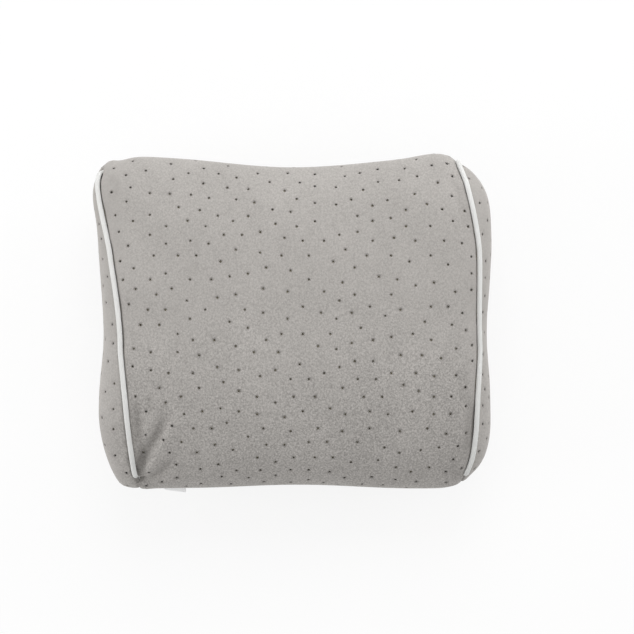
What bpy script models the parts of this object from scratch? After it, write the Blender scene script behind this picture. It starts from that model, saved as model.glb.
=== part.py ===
"""Memory foam headrest cushion that lies on its back, front face up.

X runs across the cushion, +Y towards its top edge and +Z out of its front face. One smooth outer
skin is described once, as a leaf-shaped section that rounds off towards both ends. Every cloth
piece, the cords, the strap, the zip and the foam take their shape from that skin.
"""

import math
from bisect import bisect_right

import bmesh
import bpy
from mathutils import Matrix, Vector
from mathutils.geometry import interpolate_bezier

# Whole cushion, in metres
WIDTH = 0.279
HEIGHT = 0.236
THICKNESS = 0.086

# Leaf-shaped section, seen from the side
RIDGE_BELOW_MIDDLE = 0.023
TOP_NOSE_LEVEL = 0.045
BOTTOM_NOSE_LEVEL = 0.040
REST_PATCH_ABOVE_MIDDLE = 0.048
REST_PATCH_BELOW_MIDDLE = 0.036
RIDGE_HANDLE_UP = 0.075
RIDGE_HANDLE_DOWN = 0.050
TOP_NOSE_HANDLE_FRONT = 0.025
TOP_NOSE_HANDLE_BACK = 0.022
BOTTOM_NOSE_HANDLE_FRONT = 0.024
BOTTOM_NOSE_HANDLE_BACK = 0.018
PATCH_HANDLE_UP = 0.030
PATCH_HANDLE_DOWN = 0.024

# How the section rounds off towards the two ends
END_ROUND = 0.040
POLE_LEVEL = 0.043
FACE_SQUARENESS = 2.7
FACE_DEPTH = 2.5
CORNER_DEPTH = 5.0
CORNER_SQUARENESS = {
    ("left", "top"): 9.5,
    ("right", "top"): 3.3,
    ("left", "bottom"): 12.0,
    ("right", "bottom"): 3.8,
}

# Soft departures from the plain form, as the cover pulls in between its corners
WAIST_DEPTH = 0.0045
WAIST_BELOW_MIDDLE = 0.006
WAIST_REACH = 0.045
TOP_DIP_DEPTH = 0.009
TOP_DIP_REACH = 0.075
TOP_DIP_START = 0.060
BOTTOM_DIP_DEPTH = 0.0026
BOTTOM_DIP_REACH = 0.055
BOTTOM_DIP_START = 0.090
BOTTOM_DIP_FROM_LEVEL = 0.022
LEFT_TAPER_DEPTH = 0.0085
LEFT_TAPER_START = 0.062
WAIST_FULL_INSIDE_END = 0.008

# Seams: how far each lies inside its end of the cushion, going round from the ridge
SEAM_INSET_LEFT = {
    "front_middle": 0.0165,
    "front_upper": 0.0105,
    "front_top": 0.0050,
    "top_nose": 0.0060,
    "back_top": 0.0120,
    "back_middle": 0.0170,
    "back_bottom": 0.0215,
    "bottom_nose": 0.0250,
    "front_bottom": 0.0230,
    "front_lower": 0.0215,
}
SEAM_INSET_RIGHT = {
    "front_middle": 0.0088,
    "front_upper": 0.0120,
    "front_top": 0.0198,
    "top_nose": 0.0250,
    "back_top": 0.0190,
    "back_middle": 0.0150,
    "back_bottom": 0.0175,
    "bottom_nose": 0.0210,
    "front_bottom": 0.0160,
    "front_lower": 0.0125,
}
SEAM_KNOTS = {"front_middle": "ridge", "top_nose": "top_nose", "bottom_nose": "bottom_nose"}
SEAM_FRONT_HEIGHTS = {"front_upper": 0.25, "front_top": 0.43, "front_bottom": -0.43, "front_lower": -0.27}
SEAM_BACK_HEIGHTS = {"back_top": 0.30, "back_middle": 0.0, "back_bottom": -0.34}

# Cloth, cord and foam
CLOTH = 0.0015
PIPING_RADIUS = 0.0018
PIPING_PROUD = 0.0008
CLEARANCE = 0.0003
PERFORATION_RADIUS = 0.0008
PERFORATION_SIDES = 6
PERFORATED_CELLS_ONE_IN = 3
PERFORATED_ABOVE_NOSES = 0.0086

# Elastic strap across the back
STRAP_ABOVE_MIDDLE = 0.014
STRAP_WIDTH = 0.030
STRAP_THICKNESS = 0.0015
STRAP_SHOULDER = 0.006

# Zip at the lower back
ZIP_END_INSET = 0.042
ZIP_BELOW_MIDDLE = 0.097
TAPE_TUCKED = 0.0080
TAPE_THICKNESS = 0.0006
TAPE_OVERLAP = 0.006
CHAIN_WIDTH = 0.0024
CHAIN_THICKNESS = 0.0018
STOP_LENGTH = 0.0016
SLIDER_LENGTH = 0.012
SLIDER_FLANGE = 0.0008
SLIDER_PLATE = 0.0012
SLIDER_BACK_PLATE = 0.0010
SLIDER_POST = 0.0010
SLIDER_NOSE_WIDTH = 0.0056
SLIDER_CORNER = 0.0020
BAIL_THICKNESS = 0.0009
BAIL_WIDTH = 0.0018
CURVE_ROOM = 0.0002
PULL_LENGTH = 0.0130
PULL_WIDTH = 0.0050
PULL_THICKNESS = 0.0010
PULL_CORNER = 0.0010
PULL_WINDOW_LENGTH = 0.0037
PULL_WINDOW_WIDTH = 0.0026
PIN_CLEARANCE = 0.00035

# Blank label sewn in beside the zip
LABEL_WIDTH = 0.0155
LABEL_LEFT_OF_MIDDLE = 0.0844
LABEL_THICKNESS = 0.0005
LABEL_FROM_ZIP = 0.0010
LABEL_SEWN_LENGTH = 0.005
LABEL_FREE_LENGTH = 0.0185

# Places and sizes that follow from the values above
ZIP_HALF = WIDTH / 2 - ZIP_END_INSET
CHAIN_INNER = SLIDER_POST / 2 + CLEARANCE
CHAIN_OUTER = CHAIN_INNER + CHAIN_WIDTH
SLIDER_HALF = CHAIN_OUTER + CLEARANCE + SLIDER_FLANGE
SLOT_HALF = SLIDER_HALF + CLEARANCE
CHANNEL_SHOULDER = SLOT_HALF + 2 * SLIDER_FLANGE
TAPE_HALF = SLOT_HALF + TAPE_TUCKED
TAPE_OUTER = -CLOTH - CLEARANCE
TAPE_INNER = TAPE_OUTER - TAPE_THICKNESS
CHAIN_BOTTOM = TAPE_OUTER + CLEARANCE
CHAIN_TOP = CHAIN_BOTTOM + CHAIN_THICKNESS
BACK_PLATE_TOP = TAPE_INNER - CLEARANCE - CURVE_ROOM
BACK_PLATE_BOTTOM = BACK_PLATE_TOP - SLIDER_BACK_PLATE
TOP_PLATE_BOTTOM = CHAIN_TOP + CLEARANCE
TOP_PLATE_TOP = TOP_PLATE_BOTTOM + SLIDER_PLATE
PIN_LEVEL = TOP_PLATE_TOP + PIN_CLEARANCE + PULL_THICKNESS / 2
BAIL_OPENING_TOP = PIN_LEVEL + PULL_THICKNESS / 2 + PIN_CLEARANCE
BAIL_OPENING_HALF = PULL_THICKNESS / 2 + PIN_CLEARANCE + CURVE_ROOM
CHAIN_END = ZIP_HALF - CLEARANCE - STOP_LENGTH - CLEARANCE
SLIDER_REST_X = CHAIN_END - SLIDER_LENGTH / 2
PIPING_EDGE = PIPING_RADIUS + CLEARANCE
CORE_INSET = CLOTH + CLEARANCE
CORE_INSET_AT_TAPE = -TAPE_INNER + CLEARANCE
CORE_INSET_AT_SLIDER = -BACK_PLATE_BOTTOM + CLEARANCE

# Fineness of the surfaces
MERIDIAN_FLAT_STEPS = 20
MERIDIAN_ROUND_STEPS = 80
SECTION_STEPS = 80
TURN_STEPS = 8
HALVINGS = 50
SURFACE_STEP = 0.0015
CELL = 0.0135
CELL_TURN = math.radians(24)
EDGE_CELLS = 3
SIDE_RINGS = 6
PIPING_SIDES = 8
SHARP_ANGLE = math.radians(40)

GREIGE = (0.47, 0.45, 0.42, 1.0)
WHITE = (0.80, 0.80, 0.77, 1.0)
FOAM_YELLOW = (0.84, 0.76, 0.55, 1.0)
TAPE_GREY = (0.40, 0.38, 0.36, 1.0)
ZIP_METAL = (0.55, 0.55, 0.54, 1.0)
EPSILON = 1e-5


def smooth_step(value, start, end):
    """Rises smoothly from 0 at start to 1 at end."""
    share = min(max((value - start) / (end - start), 0.0), 1.0)
    return share * share * (3 - 2 * share)


def bell(value, reach):
    """1 at zero, falling to 0 well past reach."""
    return math.exp(-((value / reach) ** 2))


class Section:
    """The leaf-shaped outline in the Y-Z plane, measured by the distance round it from the ridge."""

    def __init__(self):
        half = HEIGHT / 2
        knots = {
            "ridge": Vector((-RIDGE_BELOW_MIDDLE, THICKNESS)),
            "top_nose": Vector((half, TOP_NOSE_LEVEL)),
            "patch_top": Vector((REST_PATCH_ABOVE_MIDDLE, 0)),
            "patch_bottom": Vector((-REST_PATCH_BELOW_MIDDLE, 0)),
            "bottom_nose": Vector((-half, BOTTOM_NOSE_LEVEL)),
        }
        right, up = Vector((1, 0)), Vector((0, 1))
        spans = [
            ("ridge", right * RIDGE_HANDLE_UP, up * TOP_NOSE_HANDLE_FRONT, "top_nose"),
            ("top_nose", -up * TOP_NOSE_HANDLE_BACK, right * PATCH_HANDLE_UP, "patch_top"),
            ("patch_top", Vector((0, 0)), Vector((0, 0)), "patch_bottom"),
            ("patch_bottom", -right * PATCH_HANDLE_DOWN, -up * BOTTOM_NOSE_HANDLE_BACK, "bottom_nose"),
            ("bottom_nose", up * BOTTOM_NOSE_HANDLE_FRONT, -right * RIDGE_HANDLE_DOWN, "ridge"),
        ]
        self.points = []
        self.at_knot = {}
        for start, leave, arrive, end in spans:
            self.at_knot[start] = len(self.points)
            handles = (knots[start] + leave, knots[end] + arrive)
            curve = interpolate_bezier(knots[start], *handles, knots[end], SECTION_STEPS + 1)
            self.points.extend(Vector(point[:2]) for point in curve[:-1])
        self.points.append(knots["ridge"].copy())
        self.run = [0.0]
        for last, point in zip(self.points, self.points[1:]):
            self.run.append(self.run[-1] + (point - last).length)
        self.length = self.run[-1]
        self.at_knot = {name: self.run[index] for name, index in self.at_knot.items()}

    def point(self, distance):
        """The outline's point at a distance round it."""
        distance %= self.length
        index = min(max(bisect_right(self.run, distance) - 1, 0), len(self.points) - 2)
        span = self.run[index + 1] - self.run[index]
        return self.points[index].lerp(self.points[index + 1], (distance - self.run[index]) / span)

    def where(self, y, start, end):
        """The distance between start and end at which the outline passes the height y."""
        rising = self.point(start).x < self.point(end - EPSILON).x
        for _ in range(HALVINGS):
            middle = (start + end) / 2
            if (self.point(middle).x < y) == rising:
                start = middle
            else:
                end = middle
        return start

    def on_back(self, y):
        """The distance at which the back of the outline passes the height y."""
        return self.where(y, self.at_knot["top_nose"], self.at_knot["bottom_nose"])

    def on_front(self, y):
        """The distance at which the front of the outline passes the height y."""
        if y > -RIDGE_BELOW_MIDDLE:
            return self.where(y, 0.0, self.at_knot["top_nose"])
        return self.where(y, self.at_knot["bottom_nose"], self.length)

    def turn(self, start, end):
        """The angle that the outline turns through between two distances."""
        marks = [start + (end - start) * step / TURN_STEPS for step in range(TURN_STEPS + 1)]
        sides = [self.point(b) - self.point(a) for a, b in zip(marks, marks[1:])]
        return sum(abs(last.angle_signed(side)) for last, side in zip(sides, sides[1:]))


class Skin:
    """The cushion's outer surface, as meridians that run from the left pole to the right pole."""

    def __init__(self, section):
        self.section = section
        self.kept = {}
        marks = {name: section.at_knot[knot] for name, knot in SEAM_KNOTS.items()}
        marks |= {name: section.on_front(share * HEIGHT) for name, share in SEAM_FRONT_HEIGHTS.items()}
        marks |= {name: section.on_back(share * HEIGHT) for name, share in SEAM_BACK_HEIGHTS.items()}
        self.seam_marks = sorted(marks.items(), key=lambda item: item[1])

    def seam_inset(self, insets, distance):
        """The seam's inset at a distance round the section, as a closed smooth curve through its values."""
        marks = self.seam_marks
        count = len(marks)
        starts = [mark[1] for mark in marks]
        distance = (distance - starts[0]) % self.section.length + starts[0]
        index = bisect_right(starts, distance) - 1

        def value(step):
            return insets[marks[(index + step) % count][0]]

        start = starts[index]
        end = starts[(index + 1) % count] + (self.section.length if index == count - 1 else 0.0)
        share = (distance - start) / (end - start)
        slope_in = (value(1) - value(-1)) / 2
        slope_out = (value(2) - value(0)) / 2
        square, cube = share**2, share**3
        return (
            value(0) * (2 * cube - 3 * square + 1)
            + slope_in * (cube - 2 * square + share)
            + value(1) * (3 * square - 2 * cube)
            + slope_out * (cube - square)
        )

    def strap_groove(self, distance):
        """The share of the strap's thickness that the back gives way at this distance."""
        away = abs(distance - self.section.on_back(STRAP_ABOVE_MIDDLE))
        return 1 - smooth_step(away, STRAP_WIDTH / 2 + CLEARANCE, STRAP_WIDTH / 2 + STRAP_SHOULDER)

    def shaped(self, x, share, distance):
        """The final place of a point at x whose section has shrunk to the given share."""
        outline = self.section.point(distance)
        groove = self.strap_groove(distance) * (STRAP_THICKNESS + CLEARANCE)
        y = outline.x * share
        z = POLE_LEVEL + (outline.y + groove - POLE_LEVEL) * share
        half = HEIGHT / 2
        dip = TOP_DIP_DEPTH * bell(x, TOP_DIP_REACH) * smooth_step(y, TOP_DIP_START, half)
        front = smooth_step(z, BOTTOM_DIP_FROM_LEVEL, BOTTOM_NOSE_LEVEL)
        lift = BOTTOM_DIP_DEPTH * bell(x, BOTTOM_DIP_REACH) * smooth_step(-y, BOTTOM_DIP_START, half)
        y += lift * front - dip
        outward = smooth_step(abs(x), ZIP_HALF + TAPE_OVERLAP, WIDTH / 2 - WAIST_FULL_INSIDE_END)
        waist = WAIST_DEPTH * bell(y + WAIST_BELOW_MIDDLE, WAIST_REACH)
        taper = LEFT_TAPER_DEPTH * smooth_step(-y, LEFT_TAPER_START, half) if x < 0 else 0.0
        x -= math.copysign(outward * (waist + taper), x)
        return Vector((x, y, z))

    def meridian(self, distance):
        """(points, plain x values, running lengths) from the left pole to the right pole."""
        key = round(distance % self.section.length, 7)
        if key in self.kept:
            return self.kept[key]
        outline = self.section.point(key)
        corner = min(abs(outline.x) / (HEIGHT / 2), 1.0) ** 4
        height = "top" if outline.x > 0 else "bottom"
        start = WIDTH / 2 - END_ROUND
        halves = {}
        for side, sign in (("left", -1), ("right", 1)):
            squareness = FACE_SQUARENESS + (CORNER_SQUARENESS[side, height] - FACE_SQUARENESS) * corner
            depth = FACE_DEPTH + (CORNER_DEPTH - FACE_DEPTH) * corner
            half = []
            for step in range(1, MERIDIAN_FLAT_STEPS + 1):
                half.append((sign * start * step / MERIDIAN_FLAT_STEPS, 1.0))
            for step in range(1, MERIDIAN_ROUND_STEPS + 1):
                angle = math.pi / 2 * step / MERIDIAN_ROUND_STEPS
                across = start + END_ROUND * math.sin(angle) ** (2 / squareness)
                half.append((sign * across, max(math.cos(angle), 0.0) ** (2 / depth)))
            half[-1] = (sign * WIDTH / 2, 0.0)
            halves[side] = half
        line = [*reversed(halves["left"]), (0.0, 1.0), *halves["right"]]
        points = [self.shaped(x, share, key) for x, share in line]
        run = [0.0]
        for last, point in zip(points, points[1:]):
            run.append(run[-1] + (point - last).length)
        self.kept[key] = (points, [x for x, _ in line], run)
        return self.kept[key]

    def along(self, distance, x):
        """How far along the meridian the plain x value lies."""
        _, across, run = self.meridian(distance)
        index = min(max(bisect_right(across, x) - 1, 0), len(across) - 2)
        share = (x - across[index]) / (across[index + 1] - across[index])
        return run[index] + share * (run[index + 1] - run[index])

    def ends(self, distance):
        """How far along the meridian the left seam, the right seam and the right pole lie."""
        run = self.meridian(distance)[2]
        left = -WIDTH / 2 + self.seam_inset(SEAM_INSET_LEFT, distance)
        right = WIDTH / 2 - self.seam_inset(SEAM_INSET_RIGHT, distance)
        return self.along(distance, left), self.along(distance, right), run[-1]

    def seam_edges(self, distance):
        """Where the cloth's edges lie along the meridian: outside and inside each seam, left to right."""
        step = SURFACE_STEP
        here, before, after = (self.ends(distance + shift) for shift in (0, -step, step))
        edges = []
        for index in (0, 1):
            seam = self.bare(distance + step, after[index]) - self.bare(distance - step, before[index])
            across = self.bare(distance, here[index] + step) - self.bare(distance, here[index] - step)
            away = PIPING_EDGE / math.sin(seam.angle(across))
            edges += [here[index] - away, here[index] + away]
        return edges

    def bare(self, distance, along):
        """The surface point at a place along a meridian."""
        points, _, run = self.meridian(distance)
        index = min(max(bisect_right(run, along) - 1, 0), len(run) - 2)
        share = (along - run[index]) / (run[index + 1] - run[index])
        return points[index].lerp(points[index + 1], share)

    def normal(self, distance, along):
        """The outward normal there."""
        step = SURFACE_STEP
        length = self.meridian(distance)[2][-1]
        near, far = max(along - step, 0.0), min(along + step, length)
        across = self.bare(distance, far) - self.bare(distance, near)
        before, after = distance - step, distance + step
        share = along / length
        round_it = self.bare(after, share * self.meridian(after)[2][-1]) - self.bare(
            before, share * self.meridian(before)[2][-1]
        )
        return across.cross(round_it).normalized()

    def place(self, distance, along, lift=0.0):
        """The point that lies lift outside the surface."""
        point = self.bare(distance, along)
        return point + self.normal(distance, along) * lift if lift else point


class Stations:
    """Where the pieces have their points: distances round the section and places across it."""

    def __init__(self, skin):
        section = skin.section
        self.skin = skin
        self.zip = section.on_back(-ZIP_BELOW_MIDDLE)
        self.strap = section.on_back(STRAP_ABOVE_MIDDLE)
        zip_marks = (SLOT_HALF, CHANNEL_SHOULDER, TAPE_HALF, TAPE_HALF + 2 * SLIDER_FLANGE)
        strap_marks = (STRAP_WIDTH / 2, STRAP_WIDTH / 2 + STRAP_SHOULDER)
        marks = [section.length, *section.at_knot.values()]
        marks += [self.zip + sign * mark for mark in zip_marks for sign in (-1, 1)]
        marks += [self.strap + sign * mark for mark in strap_marks for sign in (-1, 1)]
        marks.sort()
        self.distances = []
        for start, end in zip(marks, marks[1:]):
            cells = max((end - start) / CELL, section.turn(start, end) / CELL_TURN)
            cells = max(math.ceil(cells - EPSILON), 1)
            self.distances += [start + (end - start) * cell / cells for cell in range(cells)]
        across = max(round(2 * ZIP_HALF / CELL), 2)
        self.middle_xs = [-ZIP_HALF + 2 * ZIP_HALF * cell / across for cell in range(across + 1)]
        self.zip_columns = range(EDGE_CELLS + 1, EDGE_CELLS + 1 + across)

    def between(self, start, end):
        """The distances from start to end, both included."""
        inside = [mark for mark in self.distances if start + EPSILON < mark < end - EPSILON]
        return [start, *inside, end]

    def across(self, distance):
        """The main panel's places along one meridian, from its left edge to its right edge."""
        skin = self.skin
        _, left, right, _ = skin.seam_edges(distance)
        tape_end = ZIP_HALF + TAPE_OVERLAP
        fixed = [skin.along(distance, x) for x in (-tape_end, *self.middle_xs, tape_end)]
        steps = range(EDGE_CELLS)
        near = [left + (fixed[0] - left) * step / EDGE_CELLS for step in steps]
        far = [right + (fixed[-1] - right) * step / EDGE_CELLS for step in reversed(steps)]
        return [*near, *fixed, *far]


def new_object(name, data, parts, material, frame):
    """Links an object that hangs on the cushion's frame."""
    made = bpy.data.objects.new(name, data)
    parts.objects.link(made)
    made.parent = frame
    if material:
        made.data.materials.append(material)
    return made


def mesh_from(bm, name):
    """A mesh with its faces shaded smooth, except at its sharp edges."""
    bmesh.ops.remove_doubles(bm, verts=bm.verts, dist=EPSILON)
    mesh = bpy.data.meshes.new(name)
    bm.to_mesh(mesh)
    bm.free()
    mesh.shade_smooth()
    mesh.set_sharp_from_angle(angle=SHARP_ANGLE)
    return mesh


def add_wall(made, thickness, side):
    """Gives an open cloth surface its thickness, inwards (-1) or outwards (1)."""
    wall = made.modifiers.new("thickness", "SOLIDIFY")
    wall.thickness = thickness
    wall.offset = side


def add_perforated_cell(bm, corners):
    """A cell of the cloth round one small many-sided hole."""
    middle = sum((corner.co for corner in corners), Vector()) / 4
    across = (corners[1].co - corners[0].co).normalized()
    up = across.cross(corners[3].co - corners[0].co).cross(across).normalized()
    ring = []
    for side in range(PERFORATION_SIDES):
        angle = 2 * math.pi * side / PERFORATION_SIDES - math.pi
        offset = across * math.cos(angle) + up * math.sin(angle)
        ring.append(bm.verts.new(middle + offset * PERFORATION_RADIUS))
    for side in range(PERFORATION_SIDES):
        near, far = ring[side], ring[(side + 1) % PERFORATION_SIDES]
        first = 4 * side // PERFORATION_SIDES
        after = 4 * (side + 1) // PERFORATION_SIDES
        bm.faces.new((corners[first], far, near))
        if after > first:
            bm.faces.new((corners[first], corners[after % 4], far))


def on_front(section, distance):
    """Whether this distance round the section lies on the front face, clear of both noses."""
    point = section.point(distance)
    return point.y > max(TOP_NOSE_LEVEL, BOTTOM_NOSE_LEVEL) + PERFORATED_ABOVE_NOSES


def cloth_grid(bm, skin, distances, places, lift):
    """Rows of points on the skin: one row for each distance, at the places that places(distance) gives."""
    return [[bm.verts.new(skin.place(mark, along, lift)) for along in places(mark)] for mark in distances]


def grid_cells(rows, closed):
    """(row, column, corners) of each cell of a grid, whose last row meets the first where it is closed."""
    for row in range(len(rows) if closed else len(rows) - 1):
        near, far = rows[row], rows[(row + 1) % len(rows)]
        for column in range(len(near) - 1):
            yield row, column, (near[column], near[column + 1], far[column + 1], far[column])


def main_panel_mesh(stations):
    """The cloth that wraps round front and back, open at the zip and perforated on the front."""
    skin, distances = stations.skin, stations.distances
    bm = bmesh.new()
    rows = cloth_grid(bm, skin, distances, stations.across, 0.0)
    ends = [*distances[1:], skin.section.length + distances[0]]
    for row, column, corners in grid_cells(rows, closed=True):
        start, end = distances[row], ends[row]
        if abs((start + end) / 2 - stations.zip) < SLOT_HALF and column in stations.zip_columns:
            continue
        front = on_front(skin.section, start) and on_front(skin.section, end)
        if front and (row + 2 * column) % PERFORATED_CELLS_ONE_IN == 0:
            add_perforated_cell(bm, corners)
        else:
            bm.faces.new(corners)
    return mesh_from(bm, "cover_main_panel")


def side_places(skin, distance, side):
    """Places along a meridian from the side panel's edge to its pole, the pole left out."""
    left, _, _, right = skin.seam_edges(distance)
    edge, end = (left, 0.0) if side == "left" else (right, skin.ends(distance)[2])
    return [edge + (end - edge) * ring / SIDE_RINGS for ring in range(SIDE_RINGS)]


def add_pole(bm, rim, pole, side):
    """Closes a ring of points at the pole."""
    tip = bm.verts.new(pole)
    for index, vert in enumerate(rim):
        after = rim[(index + 1) % len(rim)]
        bm.faces.new((tip, after, vert) if side == "right" else (tip, vert, after))


def side_panel_mesh(stations, side):
    """The leaf-shaped cloth that closes one end, as rings that shrink towards the pole."""
    skin = stations.skin
    bm = bmesh.new()
    rows = cloth_grid(bm, skin, stations.distances, lambda mark: side_places(skin, mark, side), 0.0)
    for _, _, corners in grid_cells(rows, closed=True):
        bm.faces.new(corners if side == "right" else corners[::-1])
    pole = skin.bare(0.0, 0.0 if side == "left" else skin.ends(0.0)[2])
    add_pole(bm, [row[-1] for row in rows], pole, side)
    return mesh_from(bm, f"cover_side_panel_{side}")


def core_inset(stations, distance, x):
    """How far the foam lies inside the skin: further in where the zip and its slider press into it."""
    away = abs(distance - stations.zip)
    if abs(x) < ZIP_HALF + EPSILON and away < SLOT_HALF + EPSILON:
        return CORE_INSET_AT_SLIDER
    if abs(x) < ZIP_HALF + TAPE_OVERLAP + EPSILON and away < TAPE_HALF + EPSILON:
        return CORE_INSET_AT_TAPE
    return CORE_INSET


def foam_core_mesh(stations):
    """The moulded foam: one closed body just inside the cover."""
    skin = stations.skin
    bm = bmesh.new()
    insets = {}
    rows = []
    for mark in stations.distances:
        left, right, _ = skin.ends(mark)
        places = [*reversed(side_places(skin, mark, "left")), left, *stations.across(mark)]
        places += [right, *side_places(skin, mark, "right")]
        rows.append([bm.verts.new(skin.place(mark, along)) for along in places])
        insets.update((vert, core_inset(stations, mark, vert.co.x)) for vert in rows[-1])
    for _, _, corners in grid_cells(rows, closed=True):
        bm.faces.new(corners)
    add_pole(bm, [row[0] for row in rows], skin.bare(0.0, 0.0), "left")
    add_pole(bm, [row[-1] for row in rows], skin.bare(0.0, skin.ends(0.0)[2]), "right")
    bm.normal_update()
    for vert in bm.verts:
        vert.co -= vert.normal * insets.get(vert, CORE_INSET)
    return mesh_from(bm, "foam_core")


def piping_curve(stations, side):
    """The cord that runs round one side panel in its seam."""
    curve = bpy.data.curves.new(f"piping_{side}", "CURVE")
    curve.dimensions = "3D"
    curve.bevel_depth = PIPING_RADIUS
    curve.bevel_resolution = PIPING_SIDES // 4
    spline = curve.splines.new("POLY")
    spline.points.add(len(stations.distances) - 1)
    spline.use_cyclic_u = True
    for point, mark in zip(spline.points, stations.distances):
        along = stations.skin.ends(mark)[0 if side == "left" else 1]
        point.co = (*stations.skin.place(mark, along, PIPING_PROUD), 1)
    return curve


def strap_mesh(stations):
    """The elastic band that crosses the back between the two side seams."""
    skin = stations.skin
    bm = bmesh.new()
    edges = stations.strap - STRAP_WIDTH / 2, stations.strap + STRAP_WIDTH / 2
    rows = cloth_grid(bm, skin, stations.between(*edges), stations.across, CLEARANCE)
    for _, _, corners in grid_cells(rows, closed=False):
        bm.faces.new(corners)
    return mesh_from(bm, "elastic_strap")


def tape_mesh(stations, side):
    """One zip tape, tucked under the cover's hem."""
    skin = stations.skin
    xs = [-ZIP_HALF - TAPE_OVERLAP, *stations.middle_xs, ZIP_HALF + TAPE_OVERLAP]
    edges = sorted(stations.zip + side * edge for edge in (CHAIN_INNER, TAPE_HALF))
    bm = bmesh.new()
    rows = cloth_grid(
        bm, skin, stations.between(*edges), lambda mark: [skin.along(mark, x) for x in xs], TAPE_OUTER
    )
    for _, _, corners in grid_cells(rows, closed=False):
        bm.faces.new(corners)
    return mesh_from(bm, "zip_tape")


def label_mesh(stations):
    """The folded label: along the skin beside the zip, then straight on past the lower edge."""
    skin = stations.skin
    start = stations.zip + SLOT_HALF + LABEL_FROM_ZIP
    leave = start + LABEL_SEWN_LENGTH
    edges = [-LABEL_LEFT_OF_MIDDLE + sign * LABEL_WIDTH / 2 for sign in (-1, 1)]
    path = [start, (start + leave) / 2, leave]
    bm = bmesh.new()
    rows = cloth_grid(bm, skin, path, lambda mark: [skin.along(mark, x) for x in edges], CLEARANCE)
    onward = (rows[-1][0].co - rows[-2][0].co).normalized() * LABEL_FREE_LENGTH
    rows.append([bm.verts.new(vert.co + onward) for vert in rows[-1]])
    for _, _, corners in grid_cells(rows, closed=False):
        bm.faces.new(corners)
    return mesh_from(bm, "care_label")


def zip_frame(skin, distance, x):
    """The place and directions of the zip at x: along it, across it towards the lower edge, and out."""
    along = skin.along(distance, x)
    out = skin.normal(distance, along)
    across = out.cross(Vector((1, 0, 0))).normalized()
    axes = Matrix((Vector((1, 0, 0)), across, out)).transposed().to_4x4()
    return Matrix.Translation(skin.bare(distance, along)) @ axes


def plate_from(name, loops, half_depth):
    """A flat outline, with any holes, made into a solid plate of twice the half depth."""
    curve = bpy.data.curves.new(name, "CURVE")
    curve.dimensions = "2D"
    curve.fill_mode = "BOTH"
    curve.extrude = half_depth
    for loop in loops:
        spline = curve.splines.new("POLY")
        spline.points.add(len(loop) - 1)
        spline.use_cyclic_u = True
        for point, (x, y) in zip(spline.points, loop):
            point.co = (x, y, 0, 1)
    holder = bpy.data.objects.new(name, curve)
    bpy.context.scene.collection.objects.link(holder)
    graph = bpy.context.evaluated_depsgraph_get()
    mesh = bpy.data.meshes.new_from_object(holder.evaluated_get(graph))
    bpy.data.objects.remove(holder)
    bpy.data.curves.remove(curve)
    bm = bmesh.new()
    bm.from_mesh(mesh)
    bmesh.ops.remove_doubles(bm, verts=bm.verts, dist=EPSILON)
    bm.to_mesh(mesh)
    bm.free()
    mesh.name = name
    return mesh


def box_mesh(name, size, middle):
    """A box with its centre at middle."""
    bm = bmesh.new()
    bmesh.ops.create_cube(bm, size=1.0, matrix=Matrix.Translation(middle) @ Matrix.Diagonal((*size, 1)))
    mesh = bpy.data.meshes.new(name)
    bm.to_mesh(mesh)
    bm.free()
    return mesh


def mirrored(points):
    """An outline from its right half, listed from bottom to top."""
    return [*points, *((-x, y) for x, y in reversed(points))]


def slider_meshes():
    """(profile across the zip, plan seen from outside, bail) of the slider, in the zip's own frame."""
    inner = SLIDER_HALF - SLIDER_FLANGE
    profile = mirrored(
        [
            (SLIDER_HALF, BACK_PLATE_BOTTOM),
            (SLIDER_HALF, BACK_PLATE_TOP),
            (SLIDER_POST / 2, BACK_PLATE_TOP),
            (SLIDER_POST / 2, TOP_PLATE_BOTTOM),
            (inner, TOP_PLATE_BOTTOM),
            (inner, CHAIN_BOTTOM),
            (SLIDER_HALF, CHAIN_BOTTOM),
            (SLIDER_HALF, TOP_PLATE_TOP),
        ]
    )
    half, nose = SLIDER_LENGTH / 2, SLIDER_NOSE_WIDTH / 2
    wide = SLIDER_HALF + CLEARANCE / 2
    tail, head = -half + SLIDER_CORNER, half - SLIDER_CORNER
    plan = [(-half, -nose), (tail, -wide), (head, -wide), (half, SLIDER_CORNER - wide)]
    plan += [(x, -y) for x, y in reversed(plan)]
    opening, outer = BAIL_OPENING_HALF, BAIL_OPENING_HALF + BAIL_THICKNESS
    root, top = TOP_PLATE_TOP - SLIDER_PLATE / 2, BAIL_OPENING_TOP + BAIL_THICKNESS
    shoulder = BAIL_THICKNESS / 2
    arch = [
        (opening, BAIL_OPENING_TOP),
        (opening, root),
        (outer, root),
        (outer, top - shoulder),
        (outer - shoulder, top),
    ]
    arch += [(-x, y) for x, y in reversed(arch)]
    return (
        plate_from("slider_profile", [profile], SLIDER_LENGTH / 2 + CLEARANCE),
        plate_from("slider_plan", [plan], 2 * (TOP_PLATE_TOP - BACK_PLATE_BOTTOM)),
        plate_from("slider_bail", [arch], BAIL_WIDTH / 2),
    )


def pull_mesh():
    """The flat pull: a tab with a window whose end bar runs under the slider's bail."""
    half, bar = PULL_WIDTH / 2, PULL_THICKNESS / 2
    tip = PULL_LENGTH - PULL_CORNER
    outline = mirrored([(half, -bar), (half, tip), (half - PULL_CORNER, PULL_LENGTH)])
    window = mirrored([(PULL_WINDOW_WIDTH / 2, bar), (PULL_WINDOW_WIDTH / 2, bar + PULL_WINDOW_LENGTH)])
    return plate_from("zip_pull", [outline, window], PULL_THICKNESS / 2)


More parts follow.
